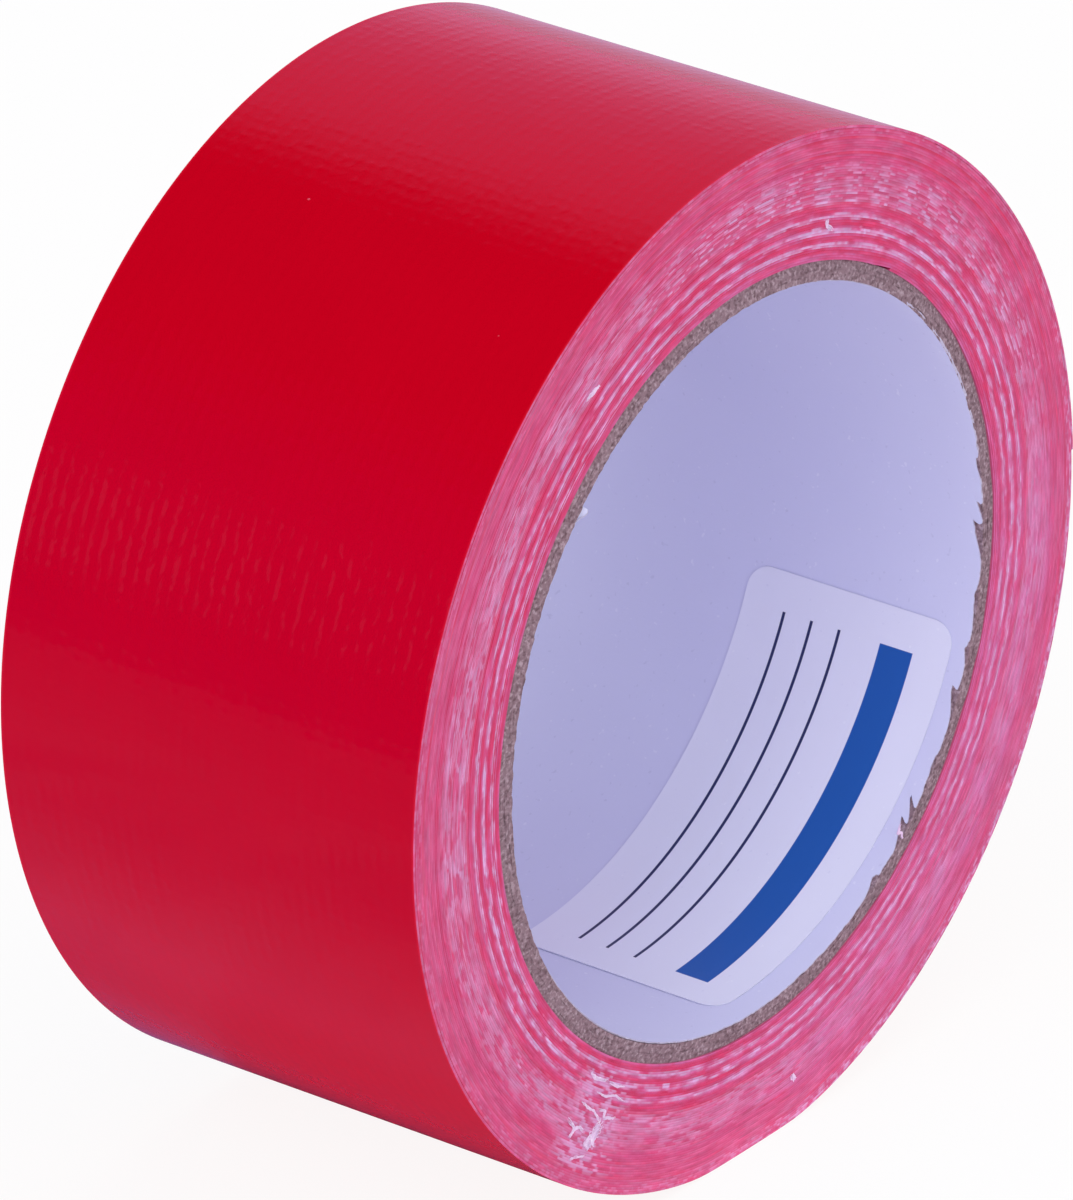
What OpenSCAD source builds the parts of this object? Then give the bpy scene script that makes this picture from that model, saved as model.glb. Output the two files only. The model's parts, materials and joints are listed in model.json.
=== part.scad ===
// Duct tape roll: a strip of film-faced gummed cloth wound on a paperboard core.
// The axis of the roll lies along Y and Z is up. The origin is on the axis, at mid width.
// Sections are drawn as seen from the front, along +Y, with X to the right and Z upwards.
// From the core outwards the tape runs clockwise in that view, and its free end is on the right.

/* [Tape] */
// Width of the tape
tape_w = 50; // [25:1:75]
// Thickness of the plastic film on the face of the tape
film_t = 0.08; // [0.05:0.01:0.12]
// Thickness of the gummed cloth behind the film
cloth_t = 0.17; // [0.1:0.01:0.25]
// Radial build of all the wound tape on the core
wound_t = 13.3; // [8:0.1:20]
// Depth of the flat that the roll has settled to where it stands
rest_flat = 0.5; // [0.3:0.1:0.8]

/* [Free end] */
// Length of the free end that lifts off the roll
end_len = 50; // [30:1:70]
// Number of segments that the free end bends in
end_segments = 6; // [3:1:8]
// Angle of the peel line, where the free end leaves the roll, from +X
peel_angle = 57; // [40:1:75]
// Clearance between the free end and the turn under it
lift_gap = 0.05; // [0.03:0.01:0.1]
// Clearance between neighbouring segments of the free end
hinge_gap = 0.04; // [0.02:0.01:0.1]

/* [Core] */
// Bore of the core
core_bore = 76; // [60:0.5:90]
// Thickness of the white paper liner in the bore
liner_t = 0.2; // [0.1:0.05:0.4]
// Thickness of one ply of grey board
ply_t = 0.5; // [0.3:0.05:0.7]
// Number of plies of grey board
ply_count = 4; // [2:1:6]
// Width of the strip that each ply is wound from
ply_strip_w = 120; // [90:1:150]
// Gap between the butted edges of a strip
seam_gap = 0.3; // [0.2:0.1:0.6]
// Angle of the liner's seam at mid width, from +X
liner_seam_angle = 150; // [0:1:359]

/* [Label] */
// Length of the label around the bore
label_len = 50.5; // [20:0.5:60]
// Width of the label along the bore
label_w = 25; // [10:1:30]
// Thickness of the label
label_t = 0.1; // [0.05:0.01:0.2]
// Corner radius of the label
label_corner = 2.5; // [1:0.5:4]
// Angle of the middle of the label, from +X
label_angle = -54; // [-180:1:180]
// Distance of the label's near edge from the front face of the roll
label_inset = 2.5; // [1:0.5:10]

/* [Hidden] */
$fn = 180;

// Colours of the materials
red_film = [0.76, 0.01, 0.13];
gummed_cloth = [0.90, 0.74, 0.80];
grey_board = [0.52, 0.46, 0.44];
white_paper = [0.86, 0.85, 0.92];
label_paper = [0.93, 0.92, 0.96];

// Radii of the core and of the whole roll
bore_r = core_bore / 2;
board_r = bore_r + liner_t;
core_r = board_r + ply_count * ply_t;
roll_r = core_r + wound_t;

// The outer turn: its thickness, its rise in one turn, its inner radius at its two ends, and
// how far the centres of its upper and lower arcs lie from the axis
tape_t = film_t + cloth_t;
turn_rise = tape_t + lift_gap;
turn_end_r = roll_r - tape_t;
turn_start_r = turn_end_r - turn_rise;
turn_shift = turn_rise / 4;

// The wound body under the outer turn. Each drawn layer of film or of cloth stands for a few
// real ones, and is thick enough to keep a drawn strip clear of itself by over 0.4 mm.
body_t = turn_start_r - core_r;
least_pitch = 0.84;
most_turns = 24;
drawn_turns = min(most_turns, floor(body_t / least_pitch) - 1);
pitch = body_t / (drawn_turns + 1);
layer_t = pitch / 2;

// The free end: the angle of one segment, and the angle taken off it as clearance
segment_angle = end_len / roll_r / end_segments * 180 / PI;
hinge_gap_angle = hinge_gap / roll_r * 180 / PI;

// Cutting bodies reach past what they cut by this much
over = 1;

PLIES = [for (i = [1:ply_count]) str("core_ply_", i)];
END_FILMS = [for (i = [1:end_segments]) str("end_film_", i)];
END_CLOTHS = [for (i = [1:end_segments]) str("end_cloth_", i)];

// Height of the axis above the flat of a layer of radius r: the flat is full at the outside
// and fades to nothing at the core.
function axis_height(r) = r - rest_flat * max(0, r - core_r) / wound_t;

// A point on a drawn spiral that starts at radius r, after it has turned by the angle turned.
// Each half turn is an arc, and the centres of the upper and lower arcs are half a pitch apart.
function spiral_point(r, turned) =
    let (
        half = floor(turned / 180),
        arc_r = r + half * layer_t,
        angle = 180 - turned,
        side = half % 2 == 0 ? 1 : -1
    )
    [side * pitch / 4 + arc_r * cos(angle), max(arc_r * sin(angle), -axis_height(arc_r))];

// Least distance from a strip of one layer, starting at radius r, to the next turn of itself
function least_gap(r, step) =
    min([for (a = [0:step:360 * (drawn_turns - 1) - step])
        norm(spiral_point(r + layer_t, a) - spiral_point(r, a + 360))]);

gap_step = 5;
echo(drawn_turns = drawn_turns, pitch = pitch);
echo(film_least_gap = least_gap(core_r + layer_t, gap_step));
echo(cloth_least_gap = least_gap(core_r, gap_step));

// Turns what is drawn in the section plane so that its axis lies along Y
module on_axis() rotate([90, 0, 0]) children();

// A section as wide as the tape
module across_width() on_axis() linear_extrude(tape_w, center = true) children();

// Half of a round layer: the upper half, or the lower half with the flat that the roll stands on
module half_disc(r, upper) {
    height = upper ? r : axis_height(r);
    intersection() {
        circle(r);
        translate([-r, upper ? 0 : -height]) square([2 * r, height]);
    }
}

// Half a turn of a layer, as thick as t, on a round of radius r
module half_ring(r, t, upper) {
    difference() {
        half_disc(r + t, upper);
        half_disc(r, upper);
    }
}

// The film of the wound body, in half turns that meet end to end as one strip
module film_spiral() {
    for (half = [0:2 * drawn_turns - 1]) {
        upper = half % 2 == 0;
        translate([(upper ? 1 : -1) * pitch / 4, 0])
            half_ring(core_r + layer_t + half * layer_t, layer_t, upper);
    }
}

// The side of the peel line that the free end covers
module past_peel() rotate(peel_angle) translate([0, -roll_r - over]) square(roll_r + over);

// All that lies under the outer turn, with a step at the peel line where that turn starts
module under_outer_turn() {
    translate([turn_shift, 0]) half_disc(turn_start_r, true);
    translate([-turn_shift, 0]) half_disc(turn_start_r + turn_rise / 2, false);
    translate([turn_shift, 0])
        difference() {
            half_disc(turn_end_r, true);
            past_peel();
        }
}

// One layer of the outer turn, from inner to outer above the underside of the tape
module turn_layer(inner, outer) {
    t = outer - inner;
    across_width() {
        translate([turn_shift, 0])
            intersection() {
                half_ring(turn_start_r + inner, t, true);
                past_peel();
            }
        translate([-turn_shift, 0]) half_ring(turn_start_r + turn_rise / 2 + inner, t, false);
        translate([turn_shift, 0])
            difference() {
                half_ring(turn_end_r + inner, t, true);
                past_peel();
            }
    }
}

// One layer of a segment of the free end. Segments count from the peel line.
module end_layer(segment, inner, outer) {
    on_axis()
        translate([turn_shift, 0, 0])
            rotate(peel_angle - segment * segment_angle)
                rotate_extrude(angle = segment_angle - hinge_gap_angle)
                    translate([turn_end_r + inner, -tape_w / 2]) square([outer - inner, tape_w]);
}

// One ply of a spiral-wound tube, with the helical seam between the edges of its strip
module wound_ply(inner, thickness, seam_angle) {
    strip_angle = asin(ply_strip_w / (2 * PI * inner));
    lead = 2 * PI * inner * tan(strip_angle);
    seam_turn = 360 * tape_w / lead;
    seam_slices = 24;
    on_axis()
        difference() {
            cylinder(r = inner + thickness, h = tape_w, center = true);
            cylinder(r = inner, h = tape_w + 2 * over, center = true);
            rotate(seam_angle)
                linear_extrude(tape_w + 2 * over, center = true, slices = seam_slices, segments = 4,
                               twist = seam_turn * (tape_w + 2 * over) / tape_w)
                    translate([inner - over, -seam_gap / 2])
                        square([thickness + 2 * over, seam_gap]);
        }
}

// What is cut off a square corner of the label to round it, with the label towards -Y and -Z
module label_corner_waste() {
    rotate([90, 0, 90])
        linear_extrude(2 * over, center = true)
            translate([-label_corner, -label_corner])
                difference() {
                    square(label_corner + over);
                    circle(label_corner);
                }
}

module core_liner() color(white_paper) wound_ply(bore_r, liner_t, liner_seam_angle);

module core_ply(i) {
    stagger = 360 / (ply_count + 1);
    color(grey_board) wound_ply(board_r + (i - 1) * ply_t, ply_t, liner_seam_angle + i * stagger);
}

module paper_label() {
    label_turn = label_len / bore_r * 180 / PI;
    label_mid = tape_w / 2 - label_inset - label_w / 2;
    corner_sides = [[1, 1], [-1, 1], [-1, -1], [1, -1]];
    color(label_paper)
        on_axis()
            translate([0, 0, label_mid])
                difference() {
                    rotate(label_angle - label_turn / 2)
                        rotate_extrude(angle = label_turn)
                            translate([bore_r - label_t, -label_w / 2]) square([label_t, label_w]);
                    for (i = [0:3])
                        rotate(label_angle + corner_sides[i][0] * label_turn / 2)
                            translate([bore_r, 0, corner_sides[i][1] * label_w / 2])
                                rotate([90 * i, 0, 0]) label_corner_waste();
                }
}

module wound_film() color(red_film) across_width() film_spiral();

module wound_cloth() {
    color(gummed_cloth)
        across_width()
            difference() {
                under_outer_turn();
                circle(core_r);
                film_spiral();
            }
}

module outer_turn_cloth() color(gummed_cloth) turn_layer(0, cloth_t);

module outer_turn_film() color(red_film) turn_layer(cloth_t, tape_t);

module end_cloth(i) color(gummed_cloth) end_layer(i, 0, cloth_t);

module end_film(i) color(red_film) end_layer(i, cloth_t, tape_t);

core_liner();
for (i = [1:ply_count]) core_ply(i);
paper_label();
wound_film();
wound_cloth();
outer_turn_film();
outer_turn_cloth();
for (i = [1:end_segments]) end_film(i);
for (i = [1:end_segments]) end_cloth(i);
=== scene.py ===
"""The looks of a roll of duct tape: film, gummed cloth, board core, liner, label and frayed threads."""

import json
import logging
import math
from collections.abc import Callable
from dataclasses import dataclass
from enum import Enum
from functools import partial, reduce

import bmesh
import bpy
import numpy as np
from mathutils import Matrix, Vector


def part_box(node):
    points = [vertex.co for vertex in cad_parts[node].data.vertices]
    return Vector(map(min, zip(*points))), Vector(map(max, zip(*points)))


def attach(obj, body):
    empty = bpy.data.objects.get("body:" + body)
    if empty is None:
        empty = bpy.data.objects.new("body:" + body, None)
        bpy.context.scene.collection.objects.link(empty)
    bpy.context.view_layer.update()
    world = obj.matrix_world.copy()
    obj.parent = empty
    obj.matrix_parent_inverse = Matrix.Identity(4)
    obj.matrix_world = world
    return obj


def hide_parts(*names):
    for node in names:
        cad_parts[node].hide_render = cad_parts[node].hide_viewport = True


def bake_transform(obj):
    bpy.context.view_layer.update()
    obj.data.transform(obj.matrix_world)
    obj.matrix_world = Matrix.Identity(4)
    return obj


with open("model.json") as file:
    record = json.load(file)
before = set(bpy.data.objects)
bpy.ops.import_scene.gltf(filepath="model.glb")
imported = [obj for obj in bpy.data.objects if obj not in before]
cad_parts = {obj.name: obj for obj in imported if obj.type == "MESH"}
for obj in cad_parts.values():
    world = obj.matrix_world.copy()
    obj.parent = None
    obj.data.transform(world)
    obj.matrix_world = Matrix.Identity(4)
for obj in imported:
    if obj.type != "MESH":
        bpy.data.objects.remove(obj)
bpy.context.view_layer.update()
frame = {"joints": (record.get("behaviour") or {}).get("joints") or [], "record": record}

MM = 0.001
SHARP_ANGLE = math.radians(40)
MERGE_GAP = 0.0002 * MM
WHITE = (1.0, 1.0, 1.0, 1.0)
BLACK = (0.0, 0.0, 0.0, 1.0)

log = logging.getLogger("tape_roll")

Socket = bpy.types.NodeSocket
Piece = bpy.types.Object
Material = bpy.types.Material
Colour = tuple[float, float, float, float]
Pair = tuple[float, float]
Triple = tuple[float, float, float]
Numbers = np.ndarray
Shape = Callable[[Numbers, Numbers], Numbers]
Spot = Callable[[Numbers, Numbers], tuple[Numbers, Numbers]]
Value = float | tuple[float, ...] | Socket


class Slot(Enum):
    """Material slots of the record."""

    FILM = "red_film"
    CLOTH = "gummed_cloth"
    BOARD = "grey_board"
    PAPER = "white_paper"
    LABEL = "label_paper"


class End(Enum):
    """The two ends of the roll, by the side of the axis that they lie on."""

    FRONT = -1
    BACK = 1


Wear = Callable[[End], tuple[Numbers, Numbers]]


def srgb(red: int, green: int, blue: int) -> Colour:
    """Turns a colour as seen on a screen into the linear colour that a shader takes.

    Args:
        red, green, blue: channels from 0 to 255.

    Returns:
        The linear colour with full alpha.
    """
    shares = (channel / 255 for channel in (red, green, blue))
    linear = (s / 12.92 if s <= 0.04045 else ((s + 0.055) / 1.055) ** 2.4 for s in shares)
    return (*linear, 1.0)


def rough_line(seed: int, count: int, blur: float) -> Numbers:
    """Draws a closed line of smooth seeded noise.

    Args:
        seed: seed of the draw.
        count: number of points along the line.
        blur: spread of the smoothing, in points.

    Returns:
        Values from 0 to 1, the last one close to the first.
    """
    draw = np.random.default_rng(seed).random(count)
    fade = np.exp(-2 * (math.pi * blur * np.fft.rfftfreq(count)) ** 2)
    soft = np.fft.irfft(np.fft.rfft(draw) * fade, count)
    return (soft - soft.min()) / np.ptp(soft)


@dataclass(frozen=True)
class RollSizes:
    """Sizes of the roll in metres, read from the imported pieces, with angles in radians."""

    half_w: float
    bore_r: float
    board_r: float
    core_r: float
    roll_r: float
    turn_rise: float
    tape_t: float
    film_t: float
    floor_z: float
    peel: float
    end_turn: float
    hinges: int
    flat_ease: float = 0.3 * MM

    @classmethod
    def from_frame(cls) -> "RollSizes":
        """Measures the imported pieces.

        Returns:
            The sizes that every piece is built from.
        """
        liner_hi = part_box("core_liner")[1]
        outer_lo, outer_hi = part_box("outer_turn_film")
        bore = next(m for m in frame["record"]["mounts"] if m["name"] == "core_bore")
        rise = 2 * (-outer_lo.x - outer_hi.x)
        first, second = (Vector(j["pos_m"]) for j in frame["joints"][:2])
        peel, next_hinge = (math.atan2(p.z, p.x - rise / 4) for p in (first, second))
        return cls(
            half_w=liner_hi.y,
            bore_r=bore["dims"]["r_mm"] * MM,
            board_r=liner_hi.x,
            core_r=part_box("core_ply_4")[1].x,
            roll_r=-outer_lo.x + rise / 4,
            turn_rise=rise,
            tape_t=outer_hi.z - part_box("wound_cloth")[1].z,
            film_t=outer_hi.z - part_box("outer_turn_cloth")[1].z,
            floor_z=outer_lo.z,
            peel=peel,
            end_turn=peel - next_hinge,
            hinges=len(frame["joints"]),
        )

    @property
    def cloth_t(self) -> float:
        """Thickness of the gummed cloth."""
        return self.tape_t - self.film_t

    @property
    def start_r(self) -> float:
        """Radius under the start of the outer turn."""
        return self.roll_r - self.tape_t - self.turn_rise

    @property
    def flat(self) -> float:
        """Depth of the flat at the outside, as a share of the build of the tape."""
        lower_r = self.roll_r - self.turn_rise / 2
        return (lower_r + self.floor_z) / (lower_r - self.core_r)

    def settle(self, radius: Numbers, height: Numbers) -> Numbers:
        """Flattens the underside of a layer where the roll stands.

        Args:
            radius: radius of the layer at each point.
            height: height of each point over the axis.

        Returns:
            The heights, none below the flat of its layer.
        """
        flat = self.flat * np.maximum(radius - self.core_r, 0) - radius
        ease = self.flat_ease * np.clip((radius - self.core_r) / (self.roll_r - self.core_r), 0, 1)
        return (height + flat + np.hypot(height - flat, ease)) / 2

    def outer_path(self, turned: Numbers, lift: Numbers) -> tuple[Numbers, Numbers]:
        """Follows the outer turn and the free end, clockwise from the peel line.

        Args:
            turned: angle turned from the start of the outer turn.
            lift: distance over the underside of the tape.

        Returns:
            The X and Z of each point.
        """
        angle = self.peel - turned
        half = np.clip(np.ceil(-angle / math.pi), 0, 2)
        radius = self.start_r + half * self.turn_rise / 2 + lift
        centre = np.where(half == 1, -1, 1) * self.turn_rise / 4
        return centre + radius * np.cos(angle), self.settle(radius, radius * np.sin(angle))


@dataclass(frozen=True)
class Band:
    """A stretch that a mask covers: it comes in from low to full and goes out from last to high."""

    low: float
    full: float
    last: float
    high: float


class Bench:
    """Adds and links the nodes of one node tree."""

    def __init__(self, tree: bpy.types.NodeTree) -> None:
        """Starts on a tree, emptied of what it holds."""
        self.tree = tree
        tree.nodes.clear()

    def add(self, kind: str, sockets: dict[str | int, Value], **settings: object) -> bpy.types.Node:
        """Adds a node.

        Args:
            kind: type of the node, without its prefix.
            sockets: values or links of its inputs, by name or number.
            settings: other properties of the node.

        Returns:
            The node.
        """
        node = self.tree.nodes.new("ShaderNode" + kind)
        for name, value in settings.items():
            setattr(node, name, value)
        for key, value in sockets.items():
            if isinstance(value, Socket):
                self.tree.links.new(value, node.inputs[key])
            else:
                node.inputs[key].default_value = value
        return node

    def math(self, operation: str, *values: Value) -> Socket:
        """Adds a Math node and returns its result."""
        return self.add("Math", dict(enumerate(values)), operation=operation).outputs[0]

    def vector(self, operation: str, *values: Value) -> Socket:
        """Adds a Vector Math node and returns its result."""
        return self.add("VectorMath", dict(enumerate(values)), operation=operation).outputs[0]

    def step(self, value: Value, low: Value, high: Value) -> Socket:
        """Adds a smooth step from 0 at low to 1 at high, and returns its result."""
        sockets = {0: value, 1: low, 2: high}
        return self.add("MapRange", sockets, interpolation_type="SMOOTHSTEP").outputs[0]

    def scale(self, value: Value, low: float, high: float) -> Socket:
        """Adds a straight map of 0 to 1 onto low to high, and returns its result."""
        return self.add("MapRange", {0: value, 3: low, 4: high}).outputs[0]

    def noise(self, vector: Value, scale: Value, detail: float = 2.0) -> Socket:
        """Adds a Noise Texture and returns its factor."""
        sockets = {"Vector": vector, "Scale": scale, "Detail": detail}
        return self.add("TexNoise", sockets).outputs["Fac"]

    def mix(
        self, factor: Value, first: Value, second: Value, blend: str = "MIX"
    ) -> Socket:
        """Adds a colour mix and returns its result."""
        sockets = {0: factor, 6: first, 7: second}
        return self.add("Mix", sockets, data_type="RGBA", blend_type=blend).outputs[2]

    def wave(self, value: Value, pitch: Value) -> Socket:
        """Adds a rounded wave from 0 to 1 of a given pitch, with crests at 0, and returns it."""
        turns = self.math("MULTIPLY", self.math("DIVIDE", value, pitch), 2 * math.pi)
        return self.math("MULTIPLY_ADD", self.math("COSINE", turns), 0.5, 0.5)

    def times(self, *factors: Value) -> Socket:
        """Adds the product of masks and returns it."""
        return reduce(partial(self.math, "MULTIPLY"), factors)

    def most(self, *masks: Value) -> Socket:
        """Adds the greatest of masks and returns it."""
        return reduce(partial(self.math, "MAXIMUM"), masks)

    def window(self, value: Value, band: Band) -> Socket:
        """Adds a mask that is 1 inside a band and fades at its two sides, and returns it."""
        return self.times(self.step(value, band.low, band.full), self.step(value, band.high, band.last))

    def bump(self, height: Value, depth: float, strength: float = 1.0) -> Socket:
        """Adds a Bump node for a relief of a given depth and returns its normal."""
        sockets = {"Height": height, "Distance": depth, "Strength": strength}
        return self.add("Bump", sockets).outputs[0]

    def uv(self) -> Socket:
        """Adds the piece's own UV map, in metres."""
        return self.add("UVMap", {}, uv_map="strip").outputs[0]

    def place(self) -> Socket:
        """Adds Object coordinates."""
        return self.add("TexCoord", {}).outputs["Object"]

    def group(self, tree: bpy.types.NodeTree, sockets: dict[str, Value]) -> bpy.types.Node:
        """Places a node group and returns its node."""
        return self.add("Group", sockets, node_tree=tree)

    def surface(self, sockets: dict[str, Value]) -> None:
        """Ends the tree in a Principled BSDF with the given inputs."""
        shader = self.add("BsdfPrincipled", sockets)
        self.add("OutputMaterial", {"Surface": shader.outputs[0]})


def new_finish(name: str) -> tuple[Material, Bench]:
    """Starts a material.

    Args:
        name: name of the material.

    Returns:
        The material and the bench of its tree.
    """
    made = bpy.data.materials.new(name)
    made.use_nodes = True
    return made, Bench(made.node_tree)


@dataclass(frozen=True)
class Grain:
    """Spots of noise on a cut edge: length round the roll and height in millimetres, and levels.

    A spot starts to show where the noise is at low, and is full where it is at high.
    """

    length: float
    height: float
    detail: float = 2.0
    low: float = 0.0
    high: float = 1.0


class EdgeMarks:
    """Marks on the cut edges of the wound tape, as masks on the bench of a node group.

    The cut ends of the crosswise yarns lie over each other from turn to turn, in columns of small
    torn scales. The first turns show drawn lines of thread, with bare film between them. On the
    side that faces the light the edges are painted lighter and smoother, a painted sheen mixed in
    with the smears of gum. Angles start at +X, bands and waves count turns of the tape, and
    lengths are in millimetres.
    """

    mean_r: float = 46.0
    turn_t: float = 0.25
    # Angle of the side of the ends that faces the light, painted lighter and smoother as a painted sheen
    lit_side: float = math.radians(-38)
    neat: float = math.radians(65)
    off_centre: float = math.radians(60)
    comb_swing: Pair = (math.radians(11), math.radians(5))
    arc_turns: float = 2.9
    arc_bend: float = 1.7
    line_turns: float = 5.3
    first_line: float = 5.4
    line_sway: float = 2.6
    sweep: float = 2.4
    stroke_edge: Pair = (0.11, 0.03)
    tuft: float = math.radians(-123)
    tuft_half: Pair = (math.radians(8), math.radians(2))
    dash_turn: float = math.radians(6.8)
    dash_span: Pair = (math.radians(-113), math.radians(-71))
    dash_fade: float = 0.05

    # Sizes of the noises, and of the strokes that are drawn from them
    sway_grain: Grain = Grain(2.2, 1.6, 1.0)
    drift_grain: Grain = Grain(6.0, 1.2, 1.0)
    torn_grain: Grain = Grain(3.2, 0.4, low=0.34, high=0.64)
    field_grain: Grain = Grain(7.0, 2.2, low=0.3, high=0.6)
    broken_grain: Grain = Grain(3.0, 0.7, low=0.34, high=0.54)
    fringe_grain: Grain = Grain(1.0, 0.3, low=0.4, high=0.65)
    smear_grain: Grain = Grain(4.0, 0.6, 3.0, low=0.3, high=0.76)
    # Size of the clouds of the painted sheen on the side that faces the light
    sheen_cloud_grain: Grain = Grain(3.2, 2.4, low=0.3, high=0.7)
    bare_grain: Grain = Grain(6.0, 0.45, 3.0, low=0.5, high=0.8)
    shade_grain: Grain = Grain(3.0, 0.32, 3.0)
    combed_stroke: Grain = Grain(4.4, 0.9, 1.0)
    long_stroke: Grain = Grain(6.0, 0.8, 1.0)
    lump_stroke: Grain = Grain(3.0, 0.5, 1.0)
    tuft_stroke: Grain = Grain(2.6, 0.9, 1.0)

    # Turns that each mark covers, counted from the core
    line_band: Band = Band(2.5, 4.5, 16.5, 19.0)
    strong_band: Band = Band(8.0, 9.8, 11.8, 13.8)
    dash_band: Band = Band(8.9, 9.6, 10.6, 11.3)
    between_band: Band = Band(0.0, 3.0, 16.0, 22.0)
    scale_band: Band = Band(19.5, 22.0, 31.0, 41.0)
    tuft_band: Band = Band(7.0, 9.0, 44.0, 49.0)
    past_lines: Band = Band(20.0, 23.0, 60.0, 70.0)
    outer_band: Band = Band(36.0, 42.0, 60.0, 70.0)
    faint_band: Band = Band(38.0, 41.0, 60.0, 70.0)
    # Turns of the fuzz at the rim, painted lighter on the side that faces the light
    fringe_and_sheen_band: Band = Band(46.0, 50.0, 60.0, 70.0)
    inner_ring: Band = Band(18.5, 20.0, 21.0, 22.5)
    middle_ring: Band = Band(40.5, 41.0, 41.4, 41.9)
    outer_ring: Band = Band(46.2, 46.7, 47.0, 47.5)

    def __init__(self, bench: Bench, place: Value, turn: Value, yarn_turn: Value) -> None:
        """Sets up what several marks share.

        Args:
            bench: bench of the group.
            place: place of a point on the roll.
            turn: turn of the winding that it lies on.
            yarn_turn: angle from one crosswise yarn to the next.
        """
        self.bench = bench
        flat = bench.vector("MULTIPLY", place, (1.0, 0.0, 1.0))
        self.round_way = bench.vector("NORMALIZE", flat)
        spot = bench.add("SeparateXYZ", {0: flat})
        self.angle = bench.math("ARCTAN2", spot.outputs[2], spot.outputs[0])
        self.turn = bench.math("SUBTRACT", turn, self._toward(self.off_centre))
        # Mask of the painted sheen on the side of the ends that faces the light
        self.lit_sheen = bench.step(self._toward(self.lit_side), 0.35, 0.95)
        self.ordered = bench.step(self._toward(self.neat), 0.3, 0.85)
        # Less of the scales and bare film shows under the painted sheen
        self.clear = bench.scale(self.lit_sheen, 1.0, 0.6)
        self.sway = bench.math("SUBTRACT", self._noise(self.turn, self.sway_grain), 0.5)
        self.swept = bench.math("MULTIPLY_ADD", self.sway, self.sweep, self.turn)
        drift = bench.math("SUBTRACT", self._noise(self.turn, self.drift_grain), 0.5)
        swing = bench.times(drift, bench.scale(self.ordered, *self.comb_swing))
        self.comb = bench.wave(bench.math("ADD", swing, self.angle), yarn_turn)
        gaps = bench.times(bench.step(self.comb, 0.7, 0.2), bench.scale(self.ordered, 0.2, 0.55))
        self.ends = bench.math("SUBTRACT", 1.0, gaps)
        self.torn = bench.scale(self._spots(self.swept, self.torn_grain), 0.35, 1.0)
        self.field = bench.scale(self._spots(self.turn, self.field_grain), 0.5, 1.0)
        line = bench.math("SUBTRACT", self.turn, self.first_line)
        wander = bench.math("MULTIPLY_ADD", self.sway, self.line_sway, line)
        self.ripple = bench.wave(wander, self.line_turns)

    def _toward(self, centre: float) -> Socket:
        """Gives the cosine of the way round from an angle."""
        return self.bench.math("COSINE", self.bench.math("SUBTRACT", self.angle, centre))

    def _noise(self, turn: Value, grain: Grain) -> Socket:
        """Lays the noise of a grain along the turns.

        Args:
            turn: turn that each point counts as.
            grain: size of the noise.

        Returns:
            The noise, from 0 to 1.
        """
        height = self.bench.math("MULTIPLY", turn, self.turn_t / grain.height)
        lift = self.bench.add("CombineXYZ", {1: height}).outputs[0]
        share = {0: self.round_way, "Scale": self.mean_r / grain.length}
        spread = self.bench.add("VectorMath", share, operation="SCALE").outputs[0]
        return self.bench.noise(self.bench.vector("ADD", spread, lift), 1.0, grain.detail)

    def _spots(self, turn: Value, grain: Grain) -> Socket:
        """Masks the spots of a grain."""
        return self.bench.step(self._noise(turn, grain), grain.low, grain.high)

    def _strokes(self, grain: Grain) -> Socket:
        """Masks thin wavy lines, drawn as the contours of a noise."""
        level = self.bench.math("SUBTRACT", self._noise(self.swept, grain), 0.5)
        return self.bench.step(self.bench.math("ABSOLUTE", level), *self.stroke_edge)

    def _zone(self, band: Band) -> Socket:
        """Masks the turns of a band."""
        return self.bench.window(self.turn, band)

    def _scales(self) -> Socket:
        """Masks the torn scales at the ends of the crosswise yarns, neater on one side.

        Returns:
            The mask.
        """
        bench = self.bench
        swayed = bench.math("MULTIPLY_ADD", self.sway, self.line_sway, self.turn)
        bent = bench.math("MULTIPLY_ADD", self.comb, self.arc_bend, swayed)
        arcs = bench.times(
            bench.step(bench.wave(bent, self.arc_turns), 0.66, 0.95),
            bench.scale(self.ordered, 0.2, 1.0),
        )
        combed = bench.times(self._strokes(self.combed_stroke), bench.scale(self.ordered, 0.85, 0.2))
        wisps = bench.most(arcs, combed, bench.times(self._strokes(self.long_stroke), 0.7))
        cells = bench.most(bench.times(self.torn, 0.2), wisps)
        worn = bench.scale(self.torn, 0.46, 0.88)
        away = bench.scale(bench.step(self._toward(self.neat), -0.3, -0.9), 1.0, 0.76)
        return bench.times(cells, worn, self.ends, self.field, self._zone(self.scale_band), self.clear, away)

    def _lines(self) -> Socket:
        """Masks the drawn lines of thread on the first turns.

        Returns:
            The mask.
        """
        bench = self.bench
        drawn = bench.step(self.ripple, 0.5, 0.92)
        lumps = bench.most(self._strokes(self.lump_stroke), bench.times(self.torn, 0.6))
        return bench.times(
            drawn,
            self._spots(self.turn, self.broken_grain),
            self._zone(self.line_band),
            bench.scale(lumps, 0.35, 1.0),
            bench.scale(self._zone(self.strong_band), 0.82, 1.0),
        )

    def _tufted(self) -> Socket:
        """Masks the strokes of thread round the tuft that the knife has pulled out."""
        near = self.bench.step(self._toward(self.tuft), *(math.cos(half) for half in self.tuft_half))
        return self.bench.times(self._strokes(self.tuft_stroke), near, self._zone(self.tuft_band), 0.7)

    def _dashes(self) -> Socket:
        """Masks the row of yarn ends that shows as dashes under the bore.

        Returns:
            The mask.
        """
        dashes = self.bench.step(self.bench.wave(self.angle, self.dash_turn), 0.78, 0.97)
        first, last = self.dash_span
        span = Band(first, first + self.dash_fade, last - self.dash_fade, last)
        shown = self.bench.window(self.angle, span)
        return self.bench.times(dashes, self._zone(self.dash_band), shown)

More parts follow.
